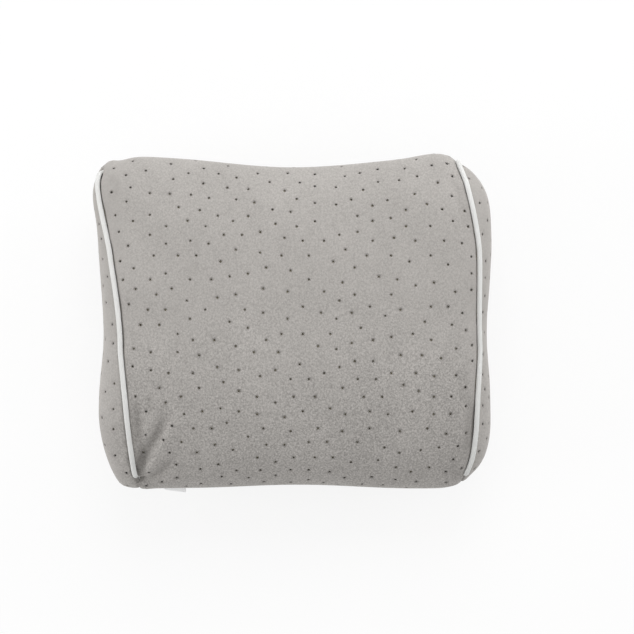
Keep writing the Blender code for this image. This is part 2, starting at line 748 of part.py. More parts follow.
def finish(name, colour, roughness, metallic=0.0, sheen=0.0):
    """A plain finish."""
    material = bpy.data.materials.new(name)
    material.use_nodes = True
    shader = material.node_tree.nodes["Principled BSDF"]
    shader.inputs["Base Color"].default_value = colour
    shader.inputs["Roughness"].default_value = roughness
    shader.inputs["Metallic"].default_value = metallic
    shader.inputs["Sheen Weight"].default_value = sheen
    material.diffuse_color = colour
    return material


def add_cutter(made, other, operation, name, cutters):
    """Joins or cuts an object with a helper mesh that shares its place."""
    helper = bpy.data.objects.new(name, other[0])
    cutters.objects.link(helper)
    helper.parent = made
    helper.matrix_local = other[1]
    helper.hide_render = True
    helper.display_type = "WIRE"
    cut = made.modifiers.new(name, "BOOLEAN")
    cut.operation = operation
    cut.object = helper


def build_cover(stations, parts, frame, cloth, cord):
    """The main panel, both side panels and the piping between them."""
    panel = new_object("cover_main_panel", main_panel_mesh(stations), parts, cloth, frame)
    add_wall(panel, CLOTH, -1)
    for side in ("left", "right"):
        name = f"cover_side_panel_{side}"
        panel = new_object(name, side_panel_mesh(stations, side), parts, cloth, frame)
        add_wall(panel, CLOTH, -1)
        new_object(f"piping_{side}", piping_curve(stations, side), parts, cord, frame)


def build_zip(stations, parts, cutters, frame, tape, metal):
    """Tapes, chains, end stops, slider and pull, all placed from the zip's own frame."""
    skin = stations.skin
    for name, side in (("upper", -1), ("lower", 1)):
        strip = new_object(f"zip_tape_{name}", tape_mesh(stations, side), parts, tape, frame)
        add_wall(strip, TAPE_THICKNESS, -1)
        size = (2 * CHAIN_END, CHAIN_WIDTH, CHAIN_THICKNESS)
        middle = (0, side * (CHAIN_INNER + CHAIN_OUTER) / 2, (CHAIN_BOTTOM + CHAIN_TOP) / 2)
        chain = new_object(f"zip_chain_{name}", box_mesh("zip_chain", size, middle), parts, tape, frame)
        chain.matrix_local = zip_frame(skin, stations.zip, 0.0)
    for name, side in (("left", -1), ("right", 1)):
        size = (STOP_LENGTH, 2 * CHAIN_OUTER, CHAIN_THICKNESS)
        middle = (0, 0, (CHAIN_BOTTOM + CHAIN_TOP) / 2)
        stop = new_object(f"zip_stop_{name}", box_mesh("zip_stop", size, middle), parts, metal, frame)
        x = side * (ZIP_HALF - CLEARANCE - STOP_LENGTH / 2)
        stop.matrix_local = zip_frame(skin, stations.zip, x)
    profile, plan, bail = slider_meshes()
    slider = new_object("zip_slider", profile, parts, metal, frame)
    profile_turn = Matrix(((0, 0, 1, 0), (1, 0, 0, 0), (0, 1, 0, 0), (0, 0, 0, 1)))
    bail_turn = Matrix(((1, 0, 0, 0), (0, 0, -1, 0), (0, 1, 0, 0), (0, 0, 0, 1)))
    place = zip_frame(skin, stations.zip, SLIDER_REST_X)
    slider.matrix_local = place @ profile_turn
    to_slider = profile_turn.inverted()
    add_cutter(slider, (plan, to_slider), "INTERSECT", "slider_plan", cutters)
    add_cutter(slider, (bail, to_slider @ bail_turn), "UNION", "slider_bail", cutters)
    pull = new_object("zip_pull", pull_mesh(), parts, metal, frame)
    pull.matrix_local = place @ Matrix.Translation((0, 0, PIN_LEVEL)) @ profile_turn


def centre_on_origin(parts, frame):
    """Moves the frame so that the whole cushion stands on the origin, centred over it."""
    bpy.context.view_layer.update()
    graph = bpy.context.evaluated_depsgraph_get()
    points = []
    for made in parts.objects:
        if made.type in ("MESH", "CURVE"):
            solid = made.evaluated_get(graph)
            points += [solid.matrix_world @ vert.co for vert in solid.to_mesh().vertices]
            solid.to_mesh_clear()
    lows = [min(point[axis] for point in points) for axis in range(3)]
    highs = [max(point[axis] for point in points) for axis in range(3)]
    frame.location = (-(lows[0] + highs[0]) / 2, -(lows[1] + highs[1]) / 2, -lows[2])


def main():
    """Builds the cushion in an empty scene."""
    for old in list(bpy.data.objects):
        bpy.data.objects.remove(old, do_unlink=True)
    scene = bpy.context.scene
    parts = bpy.data.collections.new("memory foam headrest cushion")
    cutters = bpy.data.collections.new("cutters")
    scene.collection.children.link(parts)
    scene.collection.children.link(cutters)
    cutters.hide_render = True
    frame = bpy.data.objects.new("cushion_frame", None)
    parts.objects.link(frame)

    cloth = finish("microsuede", GREIGE, 0.9, sheen=0.4)
    cord = finish("piping", WHITE, 0.6)
    foam = finish("foam", FOAM_YELLOW, 0.95)
    tape = finish("zip_tape", TAPE_GREY, 0.8)
    elastic = finish("elastic", GREIGE, 0.8)
    satin = finish("label", WHITE, 0.5)
    metal = finish("zip_metal", ZIP_METAL, 0.3, metallic=1.0)

    stations = Stations(Skin(Section()))
    new_object("foam_core", foam_core_mesh(stations), parts, foam, frame)
    build_cover(stations, parts, frame, cloth, cord)
    strap = new_object("elastic_strap", strap_mesh(stations), parts, elastic, frame)
    add_wall(strap, STRAP_THICKNESS, 1)
    build_zip(stations, parts, cutters, frame, tape, metal)
    label = new_object("care_label", label_mesh(stations), parts, satin, frame)
    add_wall(label, LABEL_THICKNESS, 1)
    centre_on_origin(parts, frame)


main()
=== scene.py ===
"""Looks of a memory foam headrest cushion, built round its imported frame.

The cushion lies on its back with its front face up. One outer form, the same as the solid model's,
carries the perforated cover, the piping, the elastic strap, the zip, the label and the foam.
"""

import logging
import math
from collections.abc import Callable, Iterable, Sequence
from dataclasses import dataclass, field
from enum import Enum

import bmesh
import bpy
import numpy as np
from mathutils import Matrix, Vector, noise
from mathutils.geometry import interpolate_bezier


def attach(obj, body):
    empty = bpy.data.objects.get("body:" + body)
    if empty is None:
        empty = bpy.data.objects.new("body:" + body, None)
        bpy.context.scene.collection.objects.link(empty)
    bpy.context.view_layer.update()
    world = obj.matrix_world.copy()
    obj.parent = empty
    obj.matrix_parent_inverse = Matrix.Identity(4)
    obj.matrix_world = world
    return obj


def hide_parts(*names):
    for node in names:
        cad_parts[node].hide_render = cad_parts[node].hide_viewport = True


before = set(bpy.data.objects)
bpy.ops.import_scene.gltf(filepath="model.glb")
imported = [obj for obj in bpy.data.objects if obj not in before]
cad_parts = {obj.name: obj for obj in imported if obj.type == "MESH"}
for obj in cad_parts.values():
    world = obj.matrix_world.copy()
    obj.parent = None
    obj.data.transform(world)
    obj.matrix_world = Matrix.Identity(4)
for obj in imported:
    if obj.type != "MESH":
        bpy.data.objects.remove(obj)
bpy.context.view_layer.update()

LOG = logging.getLogger("headrest cushion")
FLOOR_GAP = 0.00003
Colour = tuple[float, float, float, float]
Point = tuple[float, float]
Triple = tuple[float, float, float]


class Body(str, Enum):
    """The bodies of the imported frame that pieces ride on."""

    CUSHION = "cushion"
    SLIDER = "slider"
    PULL = "pull"


class Side(Enum):
    """An end of the cushion, with the direction in which it lies along X."""

    LEFT = -1
    RIGHT = 1

    @property
    def word(self) -> str:
        """The side's name as the pieces use it."""
        return self.name.lower()


def smooth_step(value: np.ndarray | float, start: float, end: float) -> np.ndarray:
    """Rises smoothly from 0 at start to 1 at end."""
    share = np.clip((value - start) / (end - start), 0.0, 1.0)
    return share * share * (3 - 2 * share)


def bell(value: np.ndarray | float, reach: float) -> np.ndarray:
    """1 at zero, falling to 0 well past reach."""
    return np.exp(-((value / reach) ** 2))


def ripple(points: np.ndarray, scale: float, shift: float = 0.0) -> np.ndarray:
    """Smooth noise from about -1 to 1.

    Args:
        points: The places, as an array whose last axis holds X, Y and Z.
        scale: The size of one swell in metres.
        shift: Moves the pattern, so that two uses differ.

    Returns:
        One value for each place.
    """
    flat = points.reshape(-1, 3) / scale + shift
    values = [noise.noise(Vector(place)) for place in flat]
    return np.array(values).reshape(points.shape[:-1])


def running_lengths(points: np.ndarray) -> np.ndarray:
    """How far along a line of points each of them lies."""
    return np.concatenate(([0.0], np.cumsum(np.linalg.norm(np.diff(points, axis=0), axis=1))))


def metre_map(along: np.ndarray, across: np.ndarray) -> np.ndarray:
    """A map in metres for a grid of points, from its values along and across it."""
    return np.stack(np.broadcast_arrays(along, across), axis=-1)


@dataclass
class CushionForm:
    """The cushion's outer surface: a leaf-shaped section that rounds off towards both ends."""

    width: float = 0.279
    height: float = 0.236
    thickness: float = 0.086
    ridge_below_middle: float = 0.023
    top_nose_level: float = 0.045
    bottom_nose_level: float = 0.040
    patch_above_middle: float = 0.048
    patch_below_middle: float = 0.036
    ridge_handles: Point = (0.075, 0.050)
    top_nose_handles: Point = (0.025, 0.022)
    bottom_nose_handles: Point = (0.024, 0.018)
    patch_handles: Point = (0.030, 0.024)
    end_round: float = 0.040
    pole_level: float = 0.043
    face_squareness: float = 2.7
    face_depth: float = 2.5
    corner_depth: float = 5.0
    corner_squareness: dict[tuple[Side, str], float] = field(
        default_factory=lambda: {
            (Side.LEFT, "top"): 9.5,
            (Side.RIGHT, "top"): 3.0,
            (Side.LEFT, "bottom"): 12.0,
            (Side.RIGHT, "bottom"): 3.3,
        }
    )
    waist: Triple = (0.0045, 0.006, 0.045)
    waist_full_inside_end: float = 0.008
    top_dip: Triple = (0.009, 0.075, 0.060)
    bottom_dip: Triple = (0.0026, 0.055, 0.090)
    bottom_dip_from_level: float = 0.022
    left_taper: tuple[float, float] = (0.0085, 0.062)
    left_insets: tuple[float, ...] = (
        0.0165, 0.0105, 0.0050, 0.0060, 0.0120, 0.0170, 0.0215, 0.0258, 0.0244, 0.0228,
    )
    right_insets: tuple[float, ...] = (
        0.0081, 0.0115, 0.0198, 0.0250, 0.0190, 0.0150, 0.0175, 0.0210, 0.0160, 0.0125,
    )
    strap_above_middle: float = 0.014
    strap_width: float = 0.030
    strap_thickness: float = 0.0015
    strap_shoulder: float = 0.006
    clearance: float = 0.0003
    piping_radius: float = 0.0018
    piping_proud: float = 0.0008
    zip_half: float = 0.0975
    zip_below_middle: float = 0.097
    tape_overlap: float = 0.006
    centring: Triple = (0.00017, 0.001494, 0.0)

    def __post_init__(self) -> None:
        """Draws the outline and places the seam marks round it."""
        self._kept: dict[float, tuple[np.ndarray, np.ndarray, np.ndarray]] = {}
        self._draw_outline()
        self._place_seam_marks()
        self.zip_line = self.on_back(-self.zip_below_middle)
        self.strap_line = self.on_back(self.strap_above_middle)

    def _draw_outline(self) -> None:
        """Draws the leaf in the Y-Z plane, measured by the distance round it from the ridge."""
        half = self.height / 2
        knots = {
            "ridge": Vector((-self.ridge_below_middle, self.thickness)),
            "top_nose": Vector((half, self.top_nose_level)),
            "patch_top": Vector((self.patch_above_middle, 0)),
            "patch_bottom": Vector((-self.patch_below_middle, 0)),
            "bottom_nose": Vector((-half, self.bottom_nose_level)),
        }
        up, top, bottom = Vector((0, 1)), self.top_nose_handles, self.bottom_nose_handles
        onward, still = Vector((1, 0)), Vector((0, 0))
        spans = (
            ("ridge", onward * self.ridge_handles[0], up * top[0], "top_nose"),
            ("top_nose", -up * top[1], onward * self.patch_handles[0], "patch_top"),
            ("patch_top", still, still, "patch_bottom"),
            ("patch_bottom", -onward * self.patch_handles[1], -up * bottom[1], "bottom_nose"),
            ("bottom_nose", up * bottom[0], -onward * self.ridge_handles[1], "ridge"),
        )
        steps = 80
        points, starts = [], {}
        for start, leave, arrive, end in spans:
            starts[start] = len(points)
            handles = (knots[start] + leave, knots[end] + arrive)
            curve = interpolate_bezier(knots[start], *handles, knots[end], steps + 1)
            points.extend(point[:2] for point in curve[:-1])
        points.append(knots["ridge"])
        self.outline = np.array(points, float)
        self.run = running_lengths(self.outline)
        self.round = float(self.run[-1])
        self.knots = {name: float(self.run[index]) for name, index in starts.items()}

    def _place_seam_marks(self) -> None:
        """Places the ten marks between which each seam's inset is eased."""
        high, low = self.height * 0.25, self.height * 0.43
        marks = [0.0, self._where(high, 0.0, self.knots["top_nose"])]
        marks += [self._where(low, 0.0, self.knots["top_nose"]), self.knots["top_nose"]]
        marks += [self.on_back(share * self.height) for share in (0.30, 0.0, -0.34)]
        marks.append(self.knots["bottom_nose"])
        for share in (-0.43, -0.27):
            marks.append(self._where(share * self.height, self.knots["bottom_nose"], self.round))
        self.marks = np.array(marks)

    def _where(self, y: float, start: float, end: float) -> float:
        """The distance between start and end at which the outline passes the height y."""
        halvings = 50
        rising = self.section(start)[0] < self.section(end - 1e-5)[0]
        for _ in range(halvings):
            middle = (start + end) / 2
            if (self.section(middle)[0] < y) == rising:
                start = middle
            else:
                end = middle
        return start

    def on_back(self, y: float) -> float:
        """The distance at which the back of the outline passes the height y."""
        return self._where(y, self.knots["top_nose"], self.knots["bottom_nose"])

    def section(self, distance: float) -> tuple[float, float]:
        """The outline's Y and Z at a distance round it."""
        distance %= self.round
        ys, zs = self.outline[:, 0], self.outline[:, 1]
        return float(np.interp(distance, self.run, ys)), float(np.interp(distance, self.run, zs))

    def seam_inset(self, insets: Sequence[float], distance: float) -> float:
        """How far a seam lies inside its end, on a closed smooth curve through its values.

        Args:
            insets: The insets at the ten marks.
            distance: The distance round the section.

        Returns:
            The inset there.
        """
        count = len(self.marks)
        distance %= self.round
        index = int(np.searchsorted(self.marks, distance, side="right")) - 1
        start = self.marks[index]
        end = self.marks[(index + 1) % count] + (self.round if index == count - 1 else 0.0)
        share = (distance - start) / (end - start)
        before, here, after, later = (insets[(index + step) % count] for step in (-1, 0, 1, 2))
        square, cube = share**2, share**3
        return (
            here * (2 * cube - 3 * square + 1)
            + (after - before) / 2 * (cube - 2 * square + share)
            + after * (3 * square - 2 * cube)
            + (later - here) / 2 * (cube - square)
        )

    def _shaped(self, x: np.ndarray, share: np.ndarray, distance: float) -> np.ndarray:
        """The places of points at x whose section has shrunk to the given share."""
        out_y, out_z = self.section(distance)
        away = abs(distance - self.strap_line)
        half_strap = self.strap_width / 2
        give = 1 - smooth_step(away, half_strap + self.clearance, half_strap + self.strap_shoulder)
        out_z += float(give) * (self.strap_thickness + self.clearance)
        y = out_y * share
        z = self.pole_level + (out_z - self.pole_level) * share
        half = self.height / 2
        depth, reach, start = self.top_dip
        dip = depth * bell(x, reach) * smooth_step(y, start, half)
        depth, reach, start = self.bottom_dip
        lift = depth * bell(x, reach) * smooth_step(-y, start, half)
        y = y + lift * smooth_step(z, self.bottom_dip_from_level, self.bottom_nose_level) - dip
        start = self.zip_half + self.tape_overlap
        outward = smooth_step(np.abs(x), start, self.width / 2 - self.waist_full_inside_end)
        depth, below, reach = self.waist
        pull = depth * bell(y + below, reach)
        depth, start = self.left_taper
        pull = pull + depth * smooth_step(-y, start, half) * (x < 0)
        return np.stack([x - np.sign(x) * outward * pull, y, z], axis=-1)

    def meridian(self, distance: float) -> tuple[np.ndarray, np.ndarray, np.ndarray]:
        """One line over the cushion from its left pole to its right pole.

        Args:
            distance: The distance round the section.

        Returns:
            The points, their plain X values and their running lengths.
        """
        key = round(distance % self.round, 7)
        if key in self._kept:
            return self._kept[key]
        y, _ = self.section(key)
        corner = min(abs(y) / (self.height / 2), 1.0) ** 4
        level = "top" if y > 0 else "bottom"
        start, flat_steps, round_steps = self.width / 2 - self.end_round, 20, 80
        angles = np.linspace(0, math.pi / 2, round_steps + 1)[1:]
        depth = self.face_depth + (self.corner_depth - self.face_depth) * corner
        shrink = np.clip(np.cos(angles), 0, None) ** (2 / depth)
        shrink[-1] = 0.0
        flat = start * np.arange(1, flat_steps + 1) / flat_steps
        xs, shares = [np.zeros(1)], [np.ones(1)]
        for side in Side:
            square = self.corner_squareness[side, level] - self.face_squareness
            square = self.face_squareness + square * corner
            curved = start + self.end_round * np.sin(angles) ** (2 / square)
            half = side.value * np.concatenate((flat, curved))
            share = np.concatenate((np.ones(flat_steps), shrink))
            if side is Side.LEFT:
                xs.insert(0, half[::-1])
                shares.insert(0, share[::-1])
            else:
                xs.append(half)
                shares.append(share)
        across, share = np.concatenate(xs), np.concatenate(shares)
        points = self._shaped(across, share, key)
        self._kept[key] = points, across, running_lengths(points)
        return self._kept[key]

    def along(self, distance: float, x: float) -> float:
        """How far along the meridian the plain X value lies."""
        _, across, run = self.meridian(distance)
        return float(np.interp(x, across, run))

    def places_at(self, xs: Sequence[float] | np.ndarray) -> Callable[[float], np.ndarray]:
        """Gives the places along any meridian that lie at the plain X values."""
        return lambda distance: np.array([self.along(distance, x) for x in xs])

    def ends(self, distance: float) -> Triple:
        """How far along the meridian the left seam, the right seam and the right pole lie."""
        left = self.seam_inset(self.left_insets, distance) - self.width / 2
        right = self.width / 2 - self.seam_inset(self.right_insets, distance)
        run = self.meridian(distance)[2]
        return self.along(distance, left), self.along(distance, right), float(run[-1])

    def bare(self, distance: float, along: Sequence[float] | np.ndarray) -> np.ndarray:
        """The surface points at places along one meridian."""
        points, _, run = self.meridian(distance)
        return np.stack([np.interp(along, run, points[:, axis]) for axis in range(3)], axis=-1)

    def seam_edges(self, distance: float) -> tuple[float, float, float, float]:
        """Where the cloth's edges lie along the meridian: outside and inside each seam."""
        step = 0.0015
        here, before, after = (self.ends(distance + shift) for shift in (0.0, -step, step))
        edges = []
        for index in (0, 1):
            seam = self.bare(distance + step, after[index]) - self.bare(distance - step, before[index])
            places = [here[index] - step, here[index] + step]
            across = np.subtract(*self.bare(distance, places)[::-1])
            level = np.dot(seam, across) / np.linalg.norm(seam) / np.linalg.norm(across)
            away = (self.piping_radius + self.clearance) / math.sqrt(1 - level**2)
            edges += [here[index] - away, here[index] + away]
        return tuple(edges)

    def rows(self, cell: float, marks: Iterable[float]) -> np.ndarray:
        """Distances round the section, about a cell apart, that meet each mark exactly.

        Args:
            cell: The largest step between two rows.
            marks: Distances that have to be among the rows.

        Returns:
            The distances, without the one that closes the round.
        """
        stops = sorted({0.0, self.round, *self.knots.values(), *marks})
        found = []
        for start, end in zip(stops, stops[1:]):
            cells = max(math.ceil((end - start) / cell - 1e-6), 1)
            found.append(np.linspace(start, end, cells, endpoint=False))
        return np.concatenate(found)

    def surface(self, distances: Sequence[float], places: Callable[[float], np.ndarray]) -> np.ndarray:
        """Rows of points on the skin, in the frame's own place.

        Args:
            distances: One distance round the section for each row.
            places: Gives the places along the meridian at a distance.

        Returns:
            The points, as rows by columns by three.
        """
        rows = [self.bare(distance, places(distance)) for distance in distances]
        return np.array(rows) + np.array(self.centring)


def grid_normals(points: np.ndarray, closed: bool) -> np.ndarray:
    """Outward normals of rows of points, whose last row meets the first where closed."""
    if closed:
        down = np.roll(points, -1, axis=0) - np.roll(points, 1, axis=0)
    else:
        down = np.gradient(points, axis=0)
    normals = np.cross(np.gradient(points, axis=1), down)
    lengths = np.linalg.norm(normals, axis=-1, keepdims=True)
    return normals / np.maximum(lengths, 1e-12)


@dataclass(frozen=True)
class Crease:
    """A fold in the front cloth, as a line seen from straight above."""

    path: tuple[Point, ...]
    depth: float
    reach: float
    start_fade: float = 0.3
    end_fade: float = 0.6

    def press(self, points: np.ndarray) -> np.ndarray:
        """How far the fold sinks each point, tapering off at both of its ends."""
        plan = points[..., :2]
        nearest = np.full(plan.shape[:-1], 1e9)
        where = np.zeros(plan.shape[:-1])
        line = np.array(self.path)
        lengths = np.linalg.norm(np.diff(line, axis=0), axis=1)
        total, passed = lengths.sum(), 0.0
        for start, end, length in zip(line, line[1:], lengths):
            share = np.clip(((plan - start) @ (end - start)) / length**2, 0.0, 1.0)
            away = np.linalg.norm(plan - start - share[..., None] * (end - start), axis=-1)
            closer = away < nearest
            nearest = np.where(closer, away, nearest)
            where = np.where(closer, (passed + share * length) / total, where)
            passed += length
        ends = smooth_step(where, 0.0, self.start_fade) * (1 - smooth_step(where, self.end_fade, 1.0))
        valley = bell(nearest, self.reach)
        ridges = 0.42 * bell(nearest - 2.1 * self.reach, self.reach * 1.1)
        return self.depth * (ridges - valley) * ends


@dataclass(frozen=True)
class Bulge:
    """A soft lump (or hollow, where its height is negative) at one place of the cover."""

    centre: Triple
    reach: Triple
    height: float

    def lift(self, points: np.ndarray) -> np.ndarray:
        """How far it raises each point."""
        away = (points - np.array(self.centre)) / np.array(self.reach)
        return self.height * np.exp(-np.sum(away**2, axis=-1))


@dataclass(frozen=True)
class Tuck:
    """A place at the edge of the cushion where piping is drawn in and the cloth closes over it."""

    side: Side
    knot: str
    before: float
    after: float
    fade: float = 0.006

    def share(self, form: "CushionForm", side: Side, distance: float) -> float:
        """How far the cloth is closed at a distance round the section, from 0 to 1."""
        if side is not self.side:
            return 0.0
        away = distance % form.round - form.knots[self.knot]
        shut = smooth_step(away, -self.before, -self.before + self.fade)
        return float(shut * (1 - smooth_step(away, self.after - self.fade, self.after)))


@dataclass
class ClothRelief:
    """How the sewn cover departs from the plain form: folds, gathers, seam rolls and hems."""

    creases: tuple[Crease, ...] = (
        Crease(
            (
                (-0.1105, -0.108), (-0.1070, -0.098), (-0.1020, -0.088),
                (-0.0960, -0.078), (-0.0900, -0.066), (-0.0875, -0.052),
            ),
            0.0031, 0.0035, 0.08, 0.50,
        ),
        Crease(
            (
                (-0.1115, -0.1085), (-0.1035, -0.1080), (-0.0935, -0.1035),
                (-0.0850, -0.0950), (-0.0800, -0.0850),
            ),
            0.0020, 0.0032, 0.06, 0.45,
        ),
        Crease(
            (
                (-0.1065, -0.048), (-0.1085, -0.060), (-0.1080, -0.076),
                (-0.1070, -0.090), (-0.1090, -0.104),
            ),
            0.0020, 0.0035, 0.30, 0.80,
        ),
        Crease(((-0.1125, -0.1090), (-0.1080, -0.1100), (-0.1030, -0.1090)), 0.0038, 0.0014, 0.06, 0.50),
        Crease(((-0.0980, -0.046), (-0.1000, -0.060), (-0.1025, -0.074)), 0.0008, 0.0026),
        Crease(
            ((0.1196, -0.046), (0.1210, -0.062), (0.1202, -0.080), (0.1168, -0.098)),
            0.0017, 0.0036, 0.3, 0.7,
        ),
        Crease(((0.1165, -0.1080), (0.1110, -0.1040), (0.1070, -0.0960)), 0.0011, 0.0028, 0.10, 0.50),
        Crease(((0.1130, -0.030), (0.1150, -0.046), (0.1155, -0.062)), 0.0008, 0.0026),
        Crease(((0.1060, 0.108), (0.1130, 0.094), (0.1165, 0.078), (0.1190, 0.060)), 0.0009, 0.0028),
        Crease(((-0.1290, 0.104), (-0.1240, 0.094), (-0.1200, 0.080)), 0.0009, 0.0026, 0.10, 0.50),
        Crease(((-0.1260, 0.070), (-0.1220, 0.056), (-0.1190, 0.040)), 0.0006, 0.0026),
    )
    bulges: tuple[Bulge, ...] = (
        Bulge((0.0980, 0.118, 0.045), (0.016, 0.020, 0.030), 0.0024),
        Bulge((0.1160, 0.116, 0.045), (0.008, 0.016, 0.026), -0.0026),
        Bulge((0.1260, 0.108, 0.045), (0.012, 0.016, 0.030), -0.0036),
        Bulge((-0.1250, 0.117, 0.045), (0.010, 0.012, 0.030), -0.0034),
        Bulge((-0.1400, 0.094, 0.045), (0.012, 0.019, 0.030), 0.0046),
        Bulge((0.1230, -0.108, 0.040), (0.013, 0.016, 0.028), -0.0042),
        Bulge((-0.1240, -0.115, 0.040), (0.014, 0.012, 0.024), -0.0012),
    )
    tucks: tuple[Tuck, ...] = (
        Tuck(Side.LEFT, "bottom_nose", 0.014, 0.024),
        Tuck(Side.RIGHT, "bottom_nose", 0.014, 0.0175),
        Tuck(Side.LEFT, "top_nose", 0.0135, 0.012),
        Tuck(Side.RIGHT, "top_nose", 0.0065, 0.012),
    )
    snug: float = 0.16
    # crease depth at which the painted shade in a fold is full
    full_shade_depth: float = 0.0090
    tuck_depth: float = 0.0046
    tuck_bulge: float = 0.0004
    tuck_roll: float = -0.30
    swell: float = 0.00045
    swell_scale: float = 0.055
    gather: float = 0.00040
    gather_scale: float = 0.010
    gather_reach: float = 0.010
    roll_depth: float = 0.0014
    roll_start: float = -0.0014
    roll_end: float = 0.0016
    seam_gap: float = 0.00015

    def folds(self, points: np.ndarray, normals: np.ndarray) -> np.ndarray:
        """The folds and the slow swells, which the foam beneath takes part in."""
        front = smooth_step(normals[..., 2], 0.0, 0.35)
        lift = sum(crease.press(points) for crease in self.creases) * front
        off_floor = smooth_step(points[..., 2], 0.003, 0.018)
        return lift + self.corners(points) + self.swell * ripple(points, self.swell_scale, 3.1) * off_floor

    def corners(self, points: np.ndarray) -> np.ndarray:
        """The bulges and hollows at the corners, which every layer shares."""
        return sum(bulge.lift(points) for bulge in self.bulges)

    def pressed(self, points: np.ndarray, normals: np.ndarray, from_seam: np.ndarray) -> np.ndarray:
        """How much painted shade darkens the cloth in the folds and beside the seams, from 0 to 1."""
        front = smooth_step(normals[..., 2], 0.0, 0.35)
        depth = sum(np.clip(-crease.press(points), 0, None) for crease in self.creases) * front
        # painted shade: a thin dark line beside each seam
        line = 0.40 * bell(np.clip(from_seam, 0, None), 0.0012)
        return np.clip(depth / self.full_shade_depth + line, 0.0, 1.0)

    def gathers(self, points: np.ndarray, from_seam: np.ndarray) -> np.ndarray:
        """The small gathers that run out from a seam."""
        off_floor = smooth_step(points[..., 2], 0.001, 0.008)
        fade = np.exp(-np.clip(from_seam, 0, None) / self.gather_reach)
        stretched = points * np.array((0.35, 1.0, 1.0))
        return self.gather * ripple(stretched, self.gather_scale, 8.7) * fade * off_floor

    def rolls(self, from_seam: np.ndarray, shut: np.ndarray) -> np.ndarray:
        """The cloth's edge as it rolls in under the piping, deeper where the cloth is shut over it."""
        roll = 1 - smooth_step(from_seam, self.roll_start, self.roll_end)
        bulge = self.tuck_bulge * bell(from_seam - 0.0045, 0.0032) * shut
        return bulge - self.roll_depth * roll * (1 + self.tuck_roll * shut)

    def shut(self, form: CushionForm, side: Side, distance: float) -> float:
        """How far the cloth closes over the piping at a distance, from 0 to 1."""
        return max(tuck.share(form, side, distance) for tuck in self.tucks)

    def closed_edges(self, form: CushionForm, distance: float) -> tuple[float, float, float, float]:
        """The cloth's edges along a meridian, drawn together where the piping is tucked in."""
        edges = list(form.seam_edges(distance))
        seams = form.ends(distance)
        for index, side in enumerate((Side.LEFT, Side.LEFT, Side.RIGHT, Side.RIGHT)):
            seam = seams[index // 2] + (self.seam_gap if index % 2 else -self.seam_gap)
            edges[index] += (seam - edges[index]) * max(self.shut(form, side, distance), self.snug)
        return tuple(edges)


class Value:
    """A shader or geometry socket that takes part in plain arithmetic."""

    def __init__(self, tree: "Nodes", socket: bpy.types.NodeSocket) -> None:
        """Wraps one output socket of the tree."""
        self.tree = tree
        self.socket = socket

    def _math(self, operation: str, first: "Value | float", second: "Value | float") -> "Value":
        """Adds one Math node and returns its result."""
        return self.tree.node("ShaderNodeMath", {"operation": operation}, {0: first, 1: second})

    def __add__(self, other: "Value | float") -> "Value":
        """Adds."""
        return self._math("ADD", self, other)

    __radd__ = __add__

    def __mul__(self, other: "Value | float") -> "Value":
        """Multiplies."""
        return self._math("MULTIPLY", self, other)

    __rmul__ = __mul__

    def __sub__(self, other: "Value | float") -> "Value":
        """Subtracts."""
        return self._math("SUBTRACT", self, other)

    def __rsub__(self, other: float) -> "Value":
        """Subtracts from a number."""
        return self._math("SUBTRACT", other, self)

    def __truediv__(self, other: "Value | float") -> "Value":
        """Divides."""
        return self._math("DIVIDE", self, other)

    def __pow__(self, other: float) -> "Value":
        """Raises to a power."""
        return self._math("POWER", self, other)

    def sine(self) -> "Value":
        """The sine."""
        return self._math("SINE", self, 0.0)

    def absolute(self) -> "Value":
        """The absolute value."""
        return self._math("ABSOLUTE", self, 0.0)


class Nodes:
    """A node tree that is filled through one method."""

    def __init__(self, tree: bpy.types.NodeTree) -> None:
        """Wraps the tree."""
        self.tree = tree

    def node(
        self,
        kind: str,
        settings: dict[str, object] | None = None,
        inputs: dict[str | int, object] | None = None,
        output: str | int = 0,
    ) -> Value:
        """Adds a node.

        Args:
            kind: The node's type.
            settings: Its properties, which are set first.
            inputs: The values or links of its sockets, by name or number.
            output: The socket that is returned.

        Returns:
            The chosen output.
        """
        made = self.tree.nodes.new(kind)
        for name, value in (settings or {}).items():
            setattr(made, name, value)
        for name, value in (inputs or {}).items():
            if isinstance(value, Value):
                self.tree.links.new(value.socket, made.inputs[name])
            else:
                made.inputs[name].default_value = value
        return Value(self, made.outputs[output]) if len(made.outputs) else Value(self, None)

    def vector(self, *parts: Value | float) -> Value:
        """A vector from up to three numbers."""
        return self.node("ShaderNodeCombineXYZ", None, dict(enumerate(parts)))


